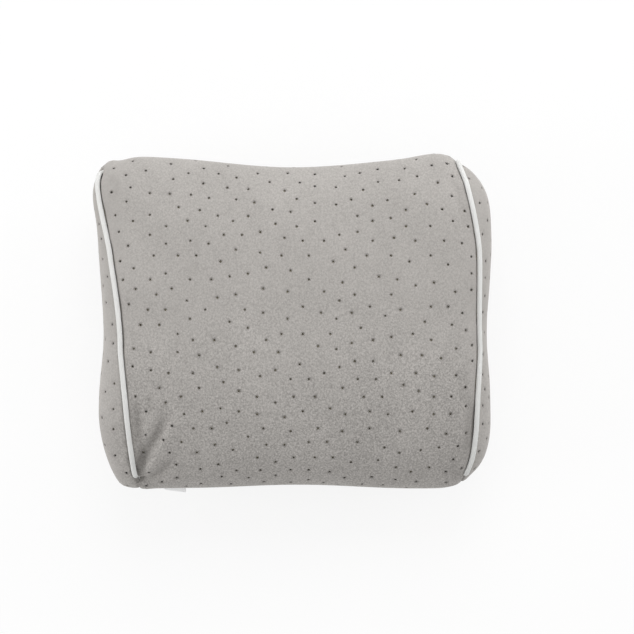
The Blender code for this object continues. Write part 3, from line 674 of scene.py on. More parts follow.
class FinishNodes(Nodes):
    """The node tree of one material, with the patterns that several finishes share."""

    def __init__(self, name: str, colour: Colour) -> None:
        """Makes an empty material of that name."""
        self.material = bpy.data.materials.new(name)
        self.material.use_nodes = True
        self.material.diffuse_color = colour
        super().__init__(self.material.node_tree)
        self.tree.nodes.clear()
        self.place = self.node("ShaderNodeTexCoord", output="Object")
        self.weave = self.node("ShaderNodeTexCoord", output="UV")

    def noise(self, scale: float, detail: float, roughness: float, place: Value | None = None) -> Value:
        """Noise over the piece, from 0 to 1."""
        inputs = {"Vector": place or self.place, "Scale": scale, "Detail": detail, "Roughness": roughness}
        return self.node("ShaderNodeTexNoise", None, inputs)

    def cells(self, scale: float, feature: str, place: Value | None = None) -> Value:
        """Distances in a pattern of irregular cells."""
        inputs = {"Vector": place or self.place, "Scale": scale}
        return self.node("ShaderNodeTexVoronoi", {"feature": feature}, inputs)

    def stretched(self, scale: Triple, place: Value | None = None) -> Value:
        """The place, stretched along each axis."""
        return self.node("ShaderNodeMapping", None, {"Vector": place or self.place, "Scale": scale})

    def parts(self, vector: Value) -> tuple[Value, Value, Value]:
        """The three numbers of a vector."""
        first = self.node("ShaderNodeSeparateXYZ", None, {0: vector})
        outputs = first.socket.node.outputs
        return first, Value(self, outputs[1]), Value(self, outputs[2])

    def ramp(self, value: Value, start: float, end: float, low: float = 0.0, high: float = 1.0) -> Value:
        """Maps a number smoothly from one range to another."""
        inputs = {"Value": value, "From Min": start, "From Max": end, "To Min": low, "To Max": high}
        return self.node("ShaderNodeMapRange", {"interpolation_type": "SMOOTHSTEP"}, inputs)

    def blend(self, share: Value, first: Colour | Value, second: Colour | Value) -> Value:
        """Mixes two colours."""
        inputs = {"Factor": share, 6: first, 7: second}
        return self.node("ShaderNodeMix", {"data_type": "RGBA"}, inputs, output=2)

    def relief(self, height: Value, distance: float, before: Value | None = None) -> Value:
        """Turns a height into a bent normal."""
        inputs: dict[str | int, object] = {"Height": height, "Distance": distance}
        if before:
            inputs["Normal"] = before
        return self.node("ShaderNodeBump", None, inputs)

    def shade(self, fixed: dict[str, object], varying: dict[str, Value]) -> bpy.types.Material:
        """Adds the surface shader and the output.

        Args:
            fixed: Numbers and colours that are the same all over.
            varying: What changes over the surface.

        Returns:
            The finished material.
        """
        shader = self.node("ShaderNodeBsdfPrincipled", None, {**fixed, **varying})
        self.node("ShaderNodeOutputMaterial", None, {"Surface": shader})
        return self.material


@dataclass(frozen=True)
class SuedeFinish:
    """Brushed microsuede: a short nap with a fine crackled grain and brushed patches."""

    name: str = "microsuede"
    light: Colour = (0.560, 0.534, 0.508, 1.0)
    dark: Colour = (0.290, 0.276, 0.261, 1.0)
    grain: float = 820.0
    fibre: float = 2100.0
    patch: float = 22.0
    rough_area: float = 9.0
    # painted shade: the colour that the attribute pressed darkens the cloth towards
    shade_colour: Colour = (0.150, 0.141, 0.131, 1.0)

    def material(self) -> bpy.types.Material:
        """Builds the material, whose nap is ruffled towards the lower edge of the cushion."""
        nodes = FinishNodes(self.name, self.light)
        sideways, upward, _ = nodes.parts(nodes.place)
        area = nodes.noise(self.rough_area, 2.0, 0.5)
        ruffled = nodes.ramp(upward * -6.0 + area, 0.25, 0.95, 0.40, 0.82)
        ruffled = ruffled * nodes.ramp(sideways.absolute(), 0.112, 0.126, 1.0, 0.50)
        patches = nodes.ramp(nodes.noise(self.patch, 3.0, 0.55), 0.30, 0.72)
        brushed = nodes.noise(120.0, 3.0, 0.6, nodes.stretched((1.0, 0.35, 1.0)))
        grain = nodes.noise(self.grain, 3.0, 0.70, nodes.stretched((1.0, 0.85, 1.0)))
        flecks = nodes.ramp(nodes.cells(self.grain * 0.62, "DISTANCE_TO_EDGE"), 0.0, 0.16)
        fibre = nodes.noise(self.fibre, 2.0, 0.6)
        coarse = (nodes.ramp(grain, 0.34, 0.66) - 0.5) * 0.85 + (flecks - 0.8) * 0.30
        tone = 0.50 + (patches - 0.5) * 0.11 + (brushed - 0.5) * 0.16
        tone = tone + (coarse + (fibre - 0.5) * 0.50) * ruffled
        # painted shade from the attribute pressed: darker in the folds, beside the seams and round the holes
        pressed = nodes.node("ShaderNodeAttribute", {"attribute_name": "pressed"}, output="Fac")
        colour = nodes.blend(tone, self.dark, self.light)
        colour = nodes.blend(pressed, colour, self.shade_colour)
        height = (grain * 0.6 + flecks * 0.25 + fibre * 0.25) * ruffled
        normal = nodes.relief(height, 0.00042)
        fixed = {"Sheen Weight": 0.32, "Sheen Roughness": 0.38, "Sheen Tint": (0.93, 0.91, 0.88, 1.0)}
        fixed["Specular IOR Level"] = 0.18
        rough = nodes.ramp(grain, 0.2, 0.8, 0.82, 0.97)
        return nodes.shade(fixed, {"Base Color": colour, "Roughness": rough, "Normal": normal})


@dataclass(frozen=True)
class CutEdgeFinish:
    """The cloth's cut edge inside a perforation: fused fibres, painted dark partly for the shade inside the
    hole.
    """

    name: str = "microsuede_cut_edge"
    colour: Colour = (0.300, 0.284, 0.262, 1.0)

    def material(self) -> bpy.types.Material:
        """Builds the material."""
        nodes = FinishNodes(self.name, self.colour)
        fibre = nodes.noise(3200.0, 3.0, 0.6)
        colour = nodes.blend(fibre, (0.170, 0.160, 0.148, 1.0), self.colour)
        normal = nodes.relief(fibre, 0.0002)
        return nodes.shade({"Roughness": 0.95}, {"Base Color": colour, "Normal": normal})


@dataclass(frozen=True)
class PipingFinish:
    """White bias-cut cloth round a cord: its fine threads run at a slant round the tube."""

    name: str = "piping"
    light: Colour = (0.860, 0.862, 0.846, 1.0)
    dark: Colour = (0.740, 0.738, 0.712, 1.0)
    threads: float = 1.0 / 0.0007

    def material(self) -> bpy.types.Material:
        """Builds the material from the tube's own map: U along it and V round it, in metres."""
        nodes = FinishNodes(self.name, self.light)
        along, round_it, _ = nodes.parts(nodes.weave)
        turn = 2 * math.pi * self.threads
        warp = ((along + round_it) * turn).sine()
        weft = ((along - round_it) * turn).sine()
        weave = (warp * weft) * 0.5 + 0.5
        grime = nodes.noise(70.0, 4.0, 0.6)
        tone = nodes.ramp(weave, 0.0, 0.8, 0.55, 1.0) * nodes.ramp(grime, 0.25, 0.75, 0.80, 1.0)
        colour = nodes.blend(tone, self.dark, self.light)
        fuzz = nodes.noise(2400.0, 2.0, 0.5)
        normal = nodes.relief(weave + fuzz * 0.5, 0.00012)
        fixed = {"Sheen Weight": 0.10, "Sheen Roughness": 0.5, "Specular IOR Level": 0.25}
        rough = nodes.ramp(weave, 0.0, 1.0, 0.80, 0.62)
        return nodes.shade(fixed, {"Base Color": colour, "Roughness": rough, "Normal": normal})


@dataclass(frozen=True)
class WebbingFinish:
    """Woven band: rubber-filled ribs for the strap, or a plain herringbone for the zip tape."""

    name: str
    light: Colour
    dark: Colour
    rib: float
    pick: float
    depth: float

    def material(self) -> bpy.types.Material:
        """Builds the material from the band's own map: U along it and V across it, in metres."""
        nodes = FinishNodes(self.name, self.light)
        along, across, _ = nodes.parts(nodes.weave)
        zigzag = (across * (math.pi / self.rib)).sine().absolute()
        pick = ((along / self.pick + zigzag * 1.5) * (2 * math.pi)).sine() * 0.5 + 0.5
        yarn = ((across / self.rib) * (2 * math.pi)).sine() * 0.5 + 0.5
        fuzz = nodes.noise(1900.0, 3.0, 0.6)
        wear = nodes.noise(60.0, 4.0, 0.6)
        weave = pick * 0.55 + yarn * 0.30 + fuzz * 0.25
        tone = nodes.ramp(weave, 0.15, 0.95) * nodes.ramp(wear, 0.2, 0.8, 0.75, 1.0)
        colour = nodes.blend(tone, self.dark, self.light)
        normal = nodes.relief(weave, self.depth)
        rough = nodes.ramp(weave, 0.0, 1.0, 0.92, 0.72)
        fixed = {"Specular IOR Level": 0.22, "Sheen Weight": 0.12}
        return nodes.shade(fixed, {"Base Color": colour, "Roughness": rough, "Normal": normal})


@dataclass(frozen=True)
class TeethFinish:
    """Moulded zip teeth in a tone that matches the cloth."""

    name: str = "zip_chain"
    colour: Colour = (0.300, 0.285, 0.265, 1.0)

    def material(self) -> bpy.types.Material:
        """Builds the material."""
        nodes = FinishNodes(self.name, self.colour)
        flow = nodes.noise(900.0, 3.0, 0.5)
        scuff = nodes.ramp(nodes.noise(240.0, 5.0, 0.7), 0.48, 0.70)
        colour = nodes.blend(flow, (0.255, 0.242, 0.226, 1.0), self.colour)
        rough = nodes.ramp(scuff, 0.0, 1.0, 0.34, 0.56)
        normal = nodes.relief(flow, 0.00005)
        return nodes.shade({}, {"Base Color": colour, "Roughness": rough, "Normal": normal})


@dataclass(frozen=True)
class MetalFinish:
    """Plated zinc of the slider, pull and stops, with fine scratches and dulled patches."""

    name: str = "zip_metal"
    colour: Colour = (0.560, 0.555, 0.540, 1.0)

    def material(self) -> bpy.types.Material:
        """Builds the material."""
        nodes = FinishNodes(self.name, self.colour)
        dull = nodes.noise(420.0, 5.0, 0.65)
        scratch = nodes.noise(1500.0, 2.0, 0.5, nodes.stretched((0.08, 1.0, 1.0)))
        colour = nodes.blend(nodes.ramp(dull, 0.25, 0.8), (0.500, 0.492, 0.474, 1.0), self.colour)
        rough = nodes.ramp(dull, 0.2, 0.8, 0.36, 0.27) + scratch * 0.08
        normal = nodes.relief(scratch * 0.6 + dull * 0.4, 0.00004)
        fixed = {"Metallic": 1.0}
        return nodes.shade(fixed, {"Base Color": colour, "Roughness": rough, "Normal": normal})


@dataclass(frozen=True)
class SatinFinish:
    """White satin ribbon of the blank label: long smooth floats, with a painted glow that stands in for
    light shining through it.
    """

    name: str = "label"
    light: Colour = (0.930, 0.934, 0.944, 1.0)
    dark: Colour = (0.860, 0.864, 0.874, 1.0)
    # strength of the painted glow
    painted_glow: float = 0.22

    def material(self) -> bpy.types.Material:
        """Builds the material from the label's own map: U along it and V across it, in metres."""
        nodes = FinishNodes(self.name, self.light)
        along, across, _ = nodes.parts(nodes.weave)
        floats = ((along / 0.00035) * (2 * math.pi)).sine() * 0.5 + 0.5
        yarn = nodes.noise(1.0, 2.0, 0.5, nodes.vector(along * 400.0, across * 5000.0))
        tone = floats * 0.4 + yarn * 0.6
        colour = nodes.blend(tone, self.dark, self.light)
        normal = nodes.relief(tone, 0.00004)
        rough = nodes.ramp(yarn, 0.2, 0.8, 0.34, 0.52)
        # painted light: the label glows a little, though it is no lamp
        fixed = {"Sheen Weight": 0.1, "Emission Color": self.light, "Emission Strength": self.painted_glow}
        return nodes.shade(fixed, {"Base Color": colour, "Roughness": rough, "Normal": normal})


@dataclass(frozen=True)
class FoamFinish:
    """Open-celled memory foam, seen only through the perforations."""

    name: str = "foam"
    light: Colour = (0.780, 0.715, 0.550, 1.0)
    dark: Colour = (0.430, 0.385, 0.270, 1.0)

    def material(self) -> bpy.types.Material:
        """Builds the material."""
        nodes = FinishNodes(self.name, self.light)
        pores = nodes.ramp(nodes.cells(1500.0, "F1"), 0.15, 0.75)
        big = nodes.ramp(nodes.cells(520.0, "F1"), 0.08, 0.35)
        # painted shade: darker in the hollows between the cells
        colour = nodes.blend(pores * big, self.light, self.dark)
        normal = nodes.relief(1 - pores * 0.7, 0.0004)
        return nodes.shade({"Roughness": 0.96}, {"Base Color": colour, "Normal": normal})


@dataclass(frozen=True)
class ThreadFinish:
    """Sewing thread: two plies that twist round each other."""

    name: str = "sewing_thread"
    light: Colour = (0.600, 0.575, 0.540, 1.0)
    dark: Colour = (0.380, 0.360, 0.336, 1.0)

    def material(self) -> bpy.types.Material:
        """Builds the material."""
        nodes = FinishNodes(self.name, self.light)
        x, y, z = nodes.parts(nodes.place)
        twist = ((x + y + z) * (2 * math.pi / 0.0006)).sine() * 0.5 + 0.5
        fuzz = nodes.noise(3000.0, 2.0, 0.5)
        colour = nodes.blend(twist * 0.7 + fuzz * 0.3, self.dark, self.light)
        normal = nodes.relief(twist, 0.00008)
        return nodes.shade({"Roughness": 0.7}, {"Base Color": colour, "Normal": normal})


@dataclass
class Finishes:
    """All of the cushion's materials, each built once."""

    suede: bpy.types.Material = field(default_factory=lambda: SuedeFinish().material())
    cut_edge: bpy.types.Material = field(default_factory=lambda: CutEdgeFinish().material())
    piping: bpy.types.Material = field(default_factory=lambda: PipingFinish().material())
    elastic: bpy.types.Material = field(
        default_factory=lambda: WebbingFinish(
            "elastic", (0.430, 0.408, 0.380, 1.0), (0.230, 0.216, 0.198, 1.0), 0.0025, 0.0011, 0.0003
        ).material()
    )
    tape: bpy.types.Material = field(
        default_factory=lambda: WebbingFinish(
            "zip_tape", (0.400, 0.380, 0.355, 1.0), (0.250, 0.236, 0.220, 1.0), 0.0012, 0.0006, 0.00015
        ).material()
    )
    teeth: bpy.types.Material = field(default_factory=lambda: TeethFinish().material())
    metal: bpy.types.Material = field(default_factory=lambda: MetalFinish().material())
    satin: bpy.types.Material = field(default_factory=lambda: SatinFinish().material())
    foam: bpy.types.Material = field(default_factory=lambda: FoamFinish().material())
    thread: bpy.types.Material = field(default_factory=lambda: ThreadFinish().material())


def new_piece(
    name: str, mesh: bpy.types.Mesh, materials: Sequence[bpy.types.Material], sharp: float = 45.0
) -> bpy.types.Object:
    """Links a mesh as a smooth-shaded piece.

    Args:
        name: The piece's name.
        mesh: Its mesh, in the frame's own place.
        materials: Its finishes, in the order of the mesh's slots.
        sharp: The angle in degrees above which an edge stays sharp.

    Returns:
        The new object.
    """
    made = bpy.data.objects.new(name, mesh)
    bpy.context.scene.collection.objects.link(made)
    mesh.materials.clear()
    for material in materials:
        mesh.materials.append(material)
    mesh.shade_smooth()
    mesh.set_sharp_from_angle(angle=math.radians(sharp))
    return made


def keep_off_floor(mesh: bpy.types.Mesh) -> None:
    """Raises any point of a mesh that would dip below the floor."""
    places = np.empty(len(mesh.vertices) * 3, np.float32)
    mesh.vertices.foreach_get("co", places)
    places[2::3] = np.maximum(places[2::3], FLOOR_GAP)
    mesh.vertices.foreach_set("co", places)
    mesh.update()


def settle(piece: bpy.types.Object, body: Body, nodes: Sequence[str] = ()) -> bpy.types.Object:
    """Makes a finished piece ride on its body and stand for its solids.

    Args:
        piece: The finished piece.
        body: The body that it moves with.
        nodes: The solids that it stands for.

    Returns:
        The piece.
    """
    keep_off_floor(piece.data)
    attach(piece, body.value)
    if nodes:
        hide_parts(*nodes)
    lowest = min(vert.co.z for vert in piece.data.vertices) * 1000
    triangles = sum(len(face.vertices) - 2 for face in piece.data.polygons)
    LOG.info("%s: %d triangles on %s, lowest %.2f mm", piece.name, triangles, body.value, lowest)
    return piece


def apply_modifiers(piece: bpy.types.Object) -> None:
    """Turns a piece's modifiers into plain mesh."""
    graph = bpy.context.evaluated_depsgraph_get()
    mesh = bpy.data.meshes.new_from_object(piece.evaluated_get(graph))
    piece.modifiers.clear()
    old, piece.data = piece.data, mesh
    mesh.name = piece.name
    bpy.data.meshes.remove(old)


@dataclass
class ClothGrid:
    """Cloth as rows and columns of points, with round holes opened at some of them and painted shade kept at
    each point.
    """

    points: np.ndarray
    normals: np.ndarray
    closed: bool
    open_cells: set[tuple[int, int]] = field(default_factory=set)
    holes: list[tuple[int, int]] = field(default_factory=list)
    # painted shade at each grid point, from 0 to 1
    pressed: np.ndarray | None = None
    hole_radius: float = 0.00084
    hole_spread: float = 0.40
    # painted light: the holes' painted shade falls to half towards the top edge, as if lit from above
    shade_by_height: tuple[Point, Point] = ((-0.02, 0.06), (1.0, 0.5))
    # each ring: its share of the hole's size, how deep it sinks and how much painted shade darkens it
    rings: tuple[Triple, ...] = (
        (1.85, 0.00006, 0.10), (1.30, 0.00026, 0.55), (1.0, 0.00058, 1.0),
    )

    def _vertex(self, row: int, column: int) -> int:
        """The number of a grid point."""
        rows, columns = self.points.shape[:2]
        return (row % rows) * columns + column

    def _open_hole(self, row: int, column: int, verts: list, faces: list, pressed: list) -> None:
        """Replaces the four cells round a grid point by a dimple with a hole at its bottom, darkened with
        painted shade towards the hole.
        """
        steps = ((-1, -1), (-1, 0), (-1, 1), (0, 1), (1, 1), (1, 0), (1, -1), (0, -1))
        rim = [self._vertex(row + down, column + across) for down, across in steps]
        centre, normal = self.points[row, column], self.normals[row, column]
        size = self.hole_radius * (1 + self.hole_spread * noise.noise(Vector(centre) * 900))
        shade = float(np.interp(centre[1], *self.shade_by_height))
        before = rim
        for share, sink, dark in self.rings:
            first = len(verts)
            # painted shade round the hole, lighter towards the top edge
            pressed += [dark * shade] * len(rim)
            for number in rim:
                away = verts[number] - centre
                away = away - normal * np.dot(away, normal)
                away = away / max(np.linalg.norm(away), 1e-9)
                verts.append(centre + away * size * share - normal * sink)
            ring = list(range(first, first + len(rim)))
            for side in range(len(rim)):
                after = (side + 1) % len(rim)
                faces.append((before[side], before[after], ring[after], ring[side]))
            before = ring

    def mesh(self, name: str) -> bpy.types.Mesh:
        """Builds the mesh with its faces outwards."""
        rows, columns = self.points.shape[:2]
        verts = list(self.points.reshape(-1, 3))
        pressed = [0.0] * len(verts) if self.pressed is None else list(self.pressed.ravel())
        faces: list[tuple[int, ...]] = []
        gone = set(self.open_cells)
        for row, column in self.holes:
            for down in (-1, 0):
                gone |= {((row + down) % rows, column - 1), ((row + down) % rows, column)}
        for row in range(rows if self.closed else rows - 1):
            for column in range(columns - 1):
                if (row, column) not in gone:
                    near, far = self._vertex(row, column), self._vertex(row + 1, column)
                    faces.append((near, near + 1, far + 1, far))
        for row, column in self.holes:
            self._open_hole(row, column, verts, faces, pressed)
        mesh = bpy.data.meshes.new(name)
        mesh.from_pydata([tuple(vert) for vert in verts], [], faces)
        # the attribute pressed carries the painted shade to the cloth's material
        stored = mesh.attributes.new("pressed", "FLOAT", "POINT")
        stored.data.foreach_set("value", np.array(pressed, np.float32))
        mesh.update()
        return mesh


@dataclass
class PerforationPattern:
    """Scattered round holes that keep a least distance from each other."""

    spacing: float = 0.0108
    seed: int = 41

    def choose(self, points: np.ndarray, allowed: np.ndarray) -> list[tuple[int, int]]:
        """Picks grid points for holes.

        Args:
            points: The cloth's grid.
            allowed: Whether a hole may be at each grid point.

        Returns:
            The rows and columns of the chosen points.
        """
        draw = np.random.default_rng(self.seed)
        candidates = np.argwhere(allowed)
        draw.shuffle(candidates)
        taken: list[np.ndarray] = []
        chosen = []
        for row, column in candidates:
            place = points[row, column]
            if taken and np.min(np.sum((np.array(taken) - place) ** 2, axis=1)) < self.spacing**2:
                continue
            taken.append(place)
            chosen.append((int(row), int(column)))
        return chosen


class GeometryRecipe(Nodes):
    """A geometry node tree with named inputs that ends in plain geometry with its finish."""

    def __init__(self, name: str, sizes: dict[str, float | int]) -> None:
        """Makes a tree with one input for each size."""
        tree = bpy.data.node_groups.new(name, "GeometryNodeTree")
        super().__init__(tree)
        interface = tree.interface
        interface.new_socket("Geometry", in_out="OUTPUT", socket_type="NodeSocketGeometry")
        interface.new_socket("Geometry", in_out="INPUT", socket_type="NodeSocketGeometry")
        self.names = {}
        for size, value in sizes.items():
            kind = "NodeSocketInt" if isinstance(value, int) else "NodeSocketFloat"
            socket = interface.new_socket(size, in_out="INPUT", socket_type=kind)
            socket.default_value = value
            self.names[size] = socket.identifier
        socket = interface.new_socket("Finish", in_out="INPUT", socket_type="NodeSocketMaterial")
        self.names["Finish"] = socket.identifier
        self.start = tree.nodes.new("NodeGroupInput")

    def given(self, name: str) -> Value:
        """One of the tree's inputs."""
        return Value(self, self.start.outputs[name])

    def attribute(self, name: str, kind: str) -> Value:
        """A named attribute of the carrier mesh."""
        found = self.node("GeometryNodeInputNamedAttribute", {"data_type": kind}, {"Name": name})
        outputs = [out for out in found.socket.node.outputs if out.enabled and out.name == "Attribute"]
        return Value(self, outputs[0])

    def facing(self, vector: Value, axis: str, before: Value | None = None, pivot: str = "AUTO") -> Value:
        """A rotation that points one axis along a vector."""
        inputs: dict[str | int, object] = {"Vector": vector}
        if before:
            inputs["Rotation"] = before
        settings = {"axis": axis, "pivot_axis": pivot}
        return self.node("FunctionNodeAlignRotationToVector", settings, inputs)

    def close(self, geometry: Value) -> None:
        """Ends the tree in plain geometry with its finish set."""
        real = self.node("GeometryNodeRealizeInstances", None, {"Geometry": geometry})
        inputs = {"Geometry": real, "Material": self.given("Finish")}
        done = self.node("GeometryNodeSetMaterial", None, inputs)
        self.node("NodeGroupOutput", None, {"Geometry": done})

    def piece(
        self, name: str, carrier: bpy.types.Mesh, finish: bpy.types.Material, **sizes: float
    ) -> bpy.types.Object:
        """Runs the tree on a carrier mesh and keeps the result as a plain piece.

        Args:
            name: The piece's name.
            carrier: The mesh that the tree works on.
            finish: The material that it sets.
            sizes: Inputs that differ from the tree's own values.

        Returns:
            The finished piece.
        """
        holder = bpy.data.objects.new(name + "_carrier", carrier)
        modifier = holder.modifiers.new("recipe", "NODES")
        modifier.node_group = self.tree
        modifier[self.names["Finish"]] = finish
        for size, value in sizes.items():
            modifier[self.names[size.replace("_", " ").capitalize()]] = value
        bpy.context.scene.collection.objects.link(holder)
        graph = bpy.context.evaluated_depsgraph_get()
        mesh = bpy.data.meshes.new_from_object(holder.evaluated_get(graph))
        mesh.name = name
        bpy.data.objects.remove(holder)
        return new_piece(name, mesh, [finish])


def perforation_lip_recipe() -> GeometryRecipe:
    """A pressed ring at each point of the carrier, facing along the attribute named outward."""
    recipe = GeometryRecipe("perforation_lips", {"Radius": 0.00100, "Lip": 0.00020, "Seed": 5})
    ring = recipe.node(
        "GeometryNodeCurvePrimitiveCircle", None, {"Resolution": 8, "Radius": recipe.given("Radius")}
    )
    profile = recipe.node(
        "GeometryNodeCurvePrimitiveCircle", None, {"Resolution": 4, "Radius": recipe.given("Lip")}
    )
    lip = recipe.node("GeometryNodeCurveToMesh", None, {"Curve": ring, "Profile Curve": profile})
    settings = {"data_type": "FLOAT"}
    size = recipe.node("FunctionNodeRandomValue", settings, {"Seed": recipe.given("Seed")}, output=1)
    random = size.socket.node
    random.inputs[2].default_value, random.inputs[3].default_value = 0.92, 1.08
    inputs = {
        "Points": recipe.given("Geometry"),
        "Instance": lip,
        "Rotation": recipe.facing(recipe.attribute("outward", "FLOAT_VECTOR"), "Z"),
        "Scale": size,
    }
    recipe.close(recipe.node("GeometryNodeInstanceOnPoints", None, inputs))
    return recipe


def stitch_recipe() -> GeometryRecipe:
    """Stitches along the carrier's edges, lying flat on the attribute named outward."""
    recipe = GeometryRecipe("stitches", {"Pitch": 0.0030, "Length": 0.00115, "Thread": 0.00028})
    line = recipe.node("GeometryNodeMeshToCurve", None, {"Mesh": recipe.given("Geometry")})
    spaced = recipe.node(
        "GeometryNodeResampleCurve", {"mode": "LENGTH"}, {"Curve": line, "Length": recipe.given("Pitch")}
    )
    bead = recipe.node("GeometryNodeMeshUVSphere", None, {"Segments": 6, "Rings": 5, "Radius": 1.0})
    size = recipe.vector(recipe.given("Length"), recipe.given("Thread"), recipe.given("Thread"))
    bead = recipe.node("GeometryNodeTransform", None, {"Geometry": bead, "Scale": size})
    tangent = recipe.node("GeometryNodeInputTangent")
    turn = recipe.facing(tangent, "X")
    turn = recipe.facing(recipe.attribute("outward", "FLOAT_VECTOR"), "Z", turn, "X")
    inputs = {"Points": spaced, "Instance": bead, "Rotation": turn}
    recipe.close(recipe.node("GeometryNodeInstanceOnPoints", None, inputs))
    return recipe


def zip_teeth_recipe() -> GeometryRecipe:
    """A row of teeth along X: each a waisted block whose head leaves room for the slider's core."""
    sizes = {"Count": 60, "Pitch": 0.0030, "Start": 0.0, "Reach": 0.0034, "Height": 0.0017, "Side": 1.0}
    recipe = GeometryRecipe("zip_teeth", sizes)
    inputs = {
        "Count": recipe.given("Count"),
        "Start Location": recipe.vector(recipe.given("Start")),
        "Offset": recipe.vector(recipe.given("Pitch")),
    }
    line = recipe.node("GeometryNodeMeshLine", {"mode": "OFFSET"}, inputs)
    blocks = []
    shapes = (
        (0.42, 0.30, 0.72, 1.00), (0.66, 0.12, 0.78, 0.86), (0.28, 0.34, 0.42, 0.78),
        (0.54, 0.18, 0.25, 0.92), (0.42, 0.26, 0.19, 0.84),
    )
    for wide, long, where, tall in shapes:
        size = recipe.vector(
            recipe.given("Pitch") * wide, recipe.given("Reach") * long, recipe.given("Height") * tall
        )
        block = recipe.node("GeometryNodeMeshCube", None, {"Size": size})
        shift = recipe.vector(0.0, recipe.given("Side") * recipe.given("Reach") * (where + long / 2))
        blocks.append(recipe.node("GeometryNodeTransform", None, {"Geometry": block, "Translation": shift}))
    tooth = recipe.node("GeometryNodeJoinGeometry", None, {0: blocks[0]})
    for block in blocks[1:]:
        recipe.tree.links.new(block.socket, tooth.socket.node.inputs[0])
    recipe.close(recipe.node("GeometryNodeInstanceOnPoints", None, {"Points": line, "Instance": tooth}))
    return recipe


def rib_recipe() -> GeometryRecipe:
    """Ribs that run along a band: its points rise and fall with the attribute named across."""
    recipe = GeometryRecipe("elastic_ribs", {"Pitch": 0.0025, "Height": 0.00016})
    wave = (recipe.attribute("across", "FLOAT") / recipe.given("Pitch") * (2 * math.pi)).sine()
    lift = recipe.node(
        "ShaderNodeVectorMath",
        {"operation": "SCALE"},
        {0: recipe.node("GeometryNodeInputNormal"), "Scale": wave * recipe.given("Height")},
    )
    inputs = {"Geometry": recipe.given("Geometry"), "Offset": lift}
    recipe.close(recipe.node("GeometryNodeSetPosition", None, inputs))
    return recipe


def marked_points(name: str, places: np.ndarray, outward: np.ndarray, joined: bool) -> bpy.types.Mesh:
    """A carrier mesh of points, with the attribute named outward, joined up in a line where asked."""
    mesh = bpy.data.meshes.new(name)
    edges = [(index, index + 1) for index in range(len(places) - 1)] if joined else []
    mesh.from_pydata([tuple(place) for place in places], edges, [])
    stored = mesh.attributes.new("outward", "FLOAT_VECTOR", "POINT")
    stored.data.foreach_set("vector", np.asarray(outward, np.float32).ravel())
    return mesh


def band_mesh(name: str, points: np.ndarray, uv: np.ndarray) -> bpy.types.Mesh:
    """An open band of cloth from rows and columns of points, with its own map.

    Args:
        name: The mesh's name.
        points: The grid of points.
        uv: The map's U and V at each of them, in metres.

    Returns:
        The mesh, with the attribute named across as well.
    """
    rows, columns = points.shape[:2]
    numbers = np.arange(rows * columns).reshape(rows, columns)
    corners = (numbers[:-1, :-1], numbers[:-1, 1:], numbers[1:, 1:], numbers[1:, :-1])
    faces = np.stack([corner.ravel() for corner in corners], axis=-1)
    mesh = bpy.data.meshes.new(name)
    mesh.from_pydata(points.reshape(-1, 3).tolist(), [], faces.tolist())
    layer = mesh.uv_layers.new(name="weave")
    layer.data.foreach_set("uv", uv.reshape(-1, 2)[faces.ravel()].astype(np.float32).ravel())
    stored = mesh.attributes.new("across", "FLOAT", "POINT")
    stored.data.foreach_set("value", uv.reshape(-1, 2)[:, 1].astype(np.float32))
    mesh.update()
    return mesh


def thicken(piece: bpy.types.Object, thickness: float, side: float, rim_slot: int = 0) -> None:
    """Gives open cloth its thickness, inwards (-1) or outwards (1)."""
    wall = piece.modifiers.new("thickness", "SOLIDIFY")
    wall.thickness = thickness
    wall.offset = side
    wall.material_offset_rim = rim_slot
    apply_modifiers(piece)


ROLL_STEPS = np.array((-0.0014, -0.0009, -0.0004, 0.0001, 0.0006, 0.0012, 0.0020, 0.0032))


@dataclass
class FoamCore:
    """The moulded foam inside the cover."""

    form: CushionForm
    relief: ClothRelief
    cell: float = 0.005
    inset: float = 0.0017
    inset_at_tape: float = 0.0030
    inset_at_slider: float = 0.0044
    slot_half: float = 0.0046
    tape_half: float = 0.0126
    columns: int = 56
    fold_reaches: Point = (0.003, 0.006)

    def build(self, finish: bpy.types.Material) -> bpy.types.Object:
        """Builds the closed foam body just inside the cover."""
        form = self.form
        edges = (self.slot_half, self.tape_half)
        marks = [form.zip_line + sign * edge for edge in edges for sign in (-1, 1)]
        distances = form.rows(self.cell, marks)
        near_pole = 0.0015

        def places(distance: float) -> np.ndarray:
            """Evenly spread places from pole to pole."""
            end = form.ends(distance)[2]
            return np.linspace(near_pole, end - near_pole, self.columns)

        points = form.surface(distances, places)
        normals = grid_normals(points, True)
        away = np.abs(distances - form.zip_line)[:, None]
        under = 1 - smooth_step(np.abs(points[..., 0]), form.zip_half, form.zip_half + 0.008)
        sink = (self.inset_at_tape - self.inset) * (1 - smooth_step(away, self.tape_half, 0.016))
        deep = self.inset_at_slider - self.inset_at_tape
        sink = sink + deep * (1 - smooth_step(away, self.slot_half, 0.0075))
        lift = self._deepest_near(points, normals) - self.inset - sink * under
        points = points + normals * lift[..., None]
        grid = ClothGrid(points, normals, True)
        mesh = grid.mesh("moulded_foam_core")
        bm = bmesh.new()
        bm.from_mesh(mesh)
        bmesh.ops.holes_fill(bm, edges=[edge for edge in bm.edges if edge.is_boundary], sides=0)
        bmesh.ops.triangulate(bm, faces=[face for face in bm.faces if len(face.verts) > 4])
        bm.to_mesh(mesh)
        bm.free()
        piece = new_piece("moulded_foam_core", mesh, [finish])
        settle(piece, Body.CUSHION, ["foam_core"])
        return piece

    def _deepest_near(self, points: np.ndarray, normals: np.ndarray) -> np.ndarray:
        """How low the cover lies at its lowest within a short reach of each point."""
        angles = np.linspace(0, 2 * math.pi, 8, endpoint=False)
        shifts = [(0.0, 0.0)]
        for reach in self.fold_reaches:
            shifts += [(reach * math.cos(angle), reach * math.sin(angle)) for angle in angles]
        moved = (points + np.array((x, y, 0.0)) for x, y in shifts)
        return np.min([self.relief.folds(places, normals) for places in moved], axis=0)


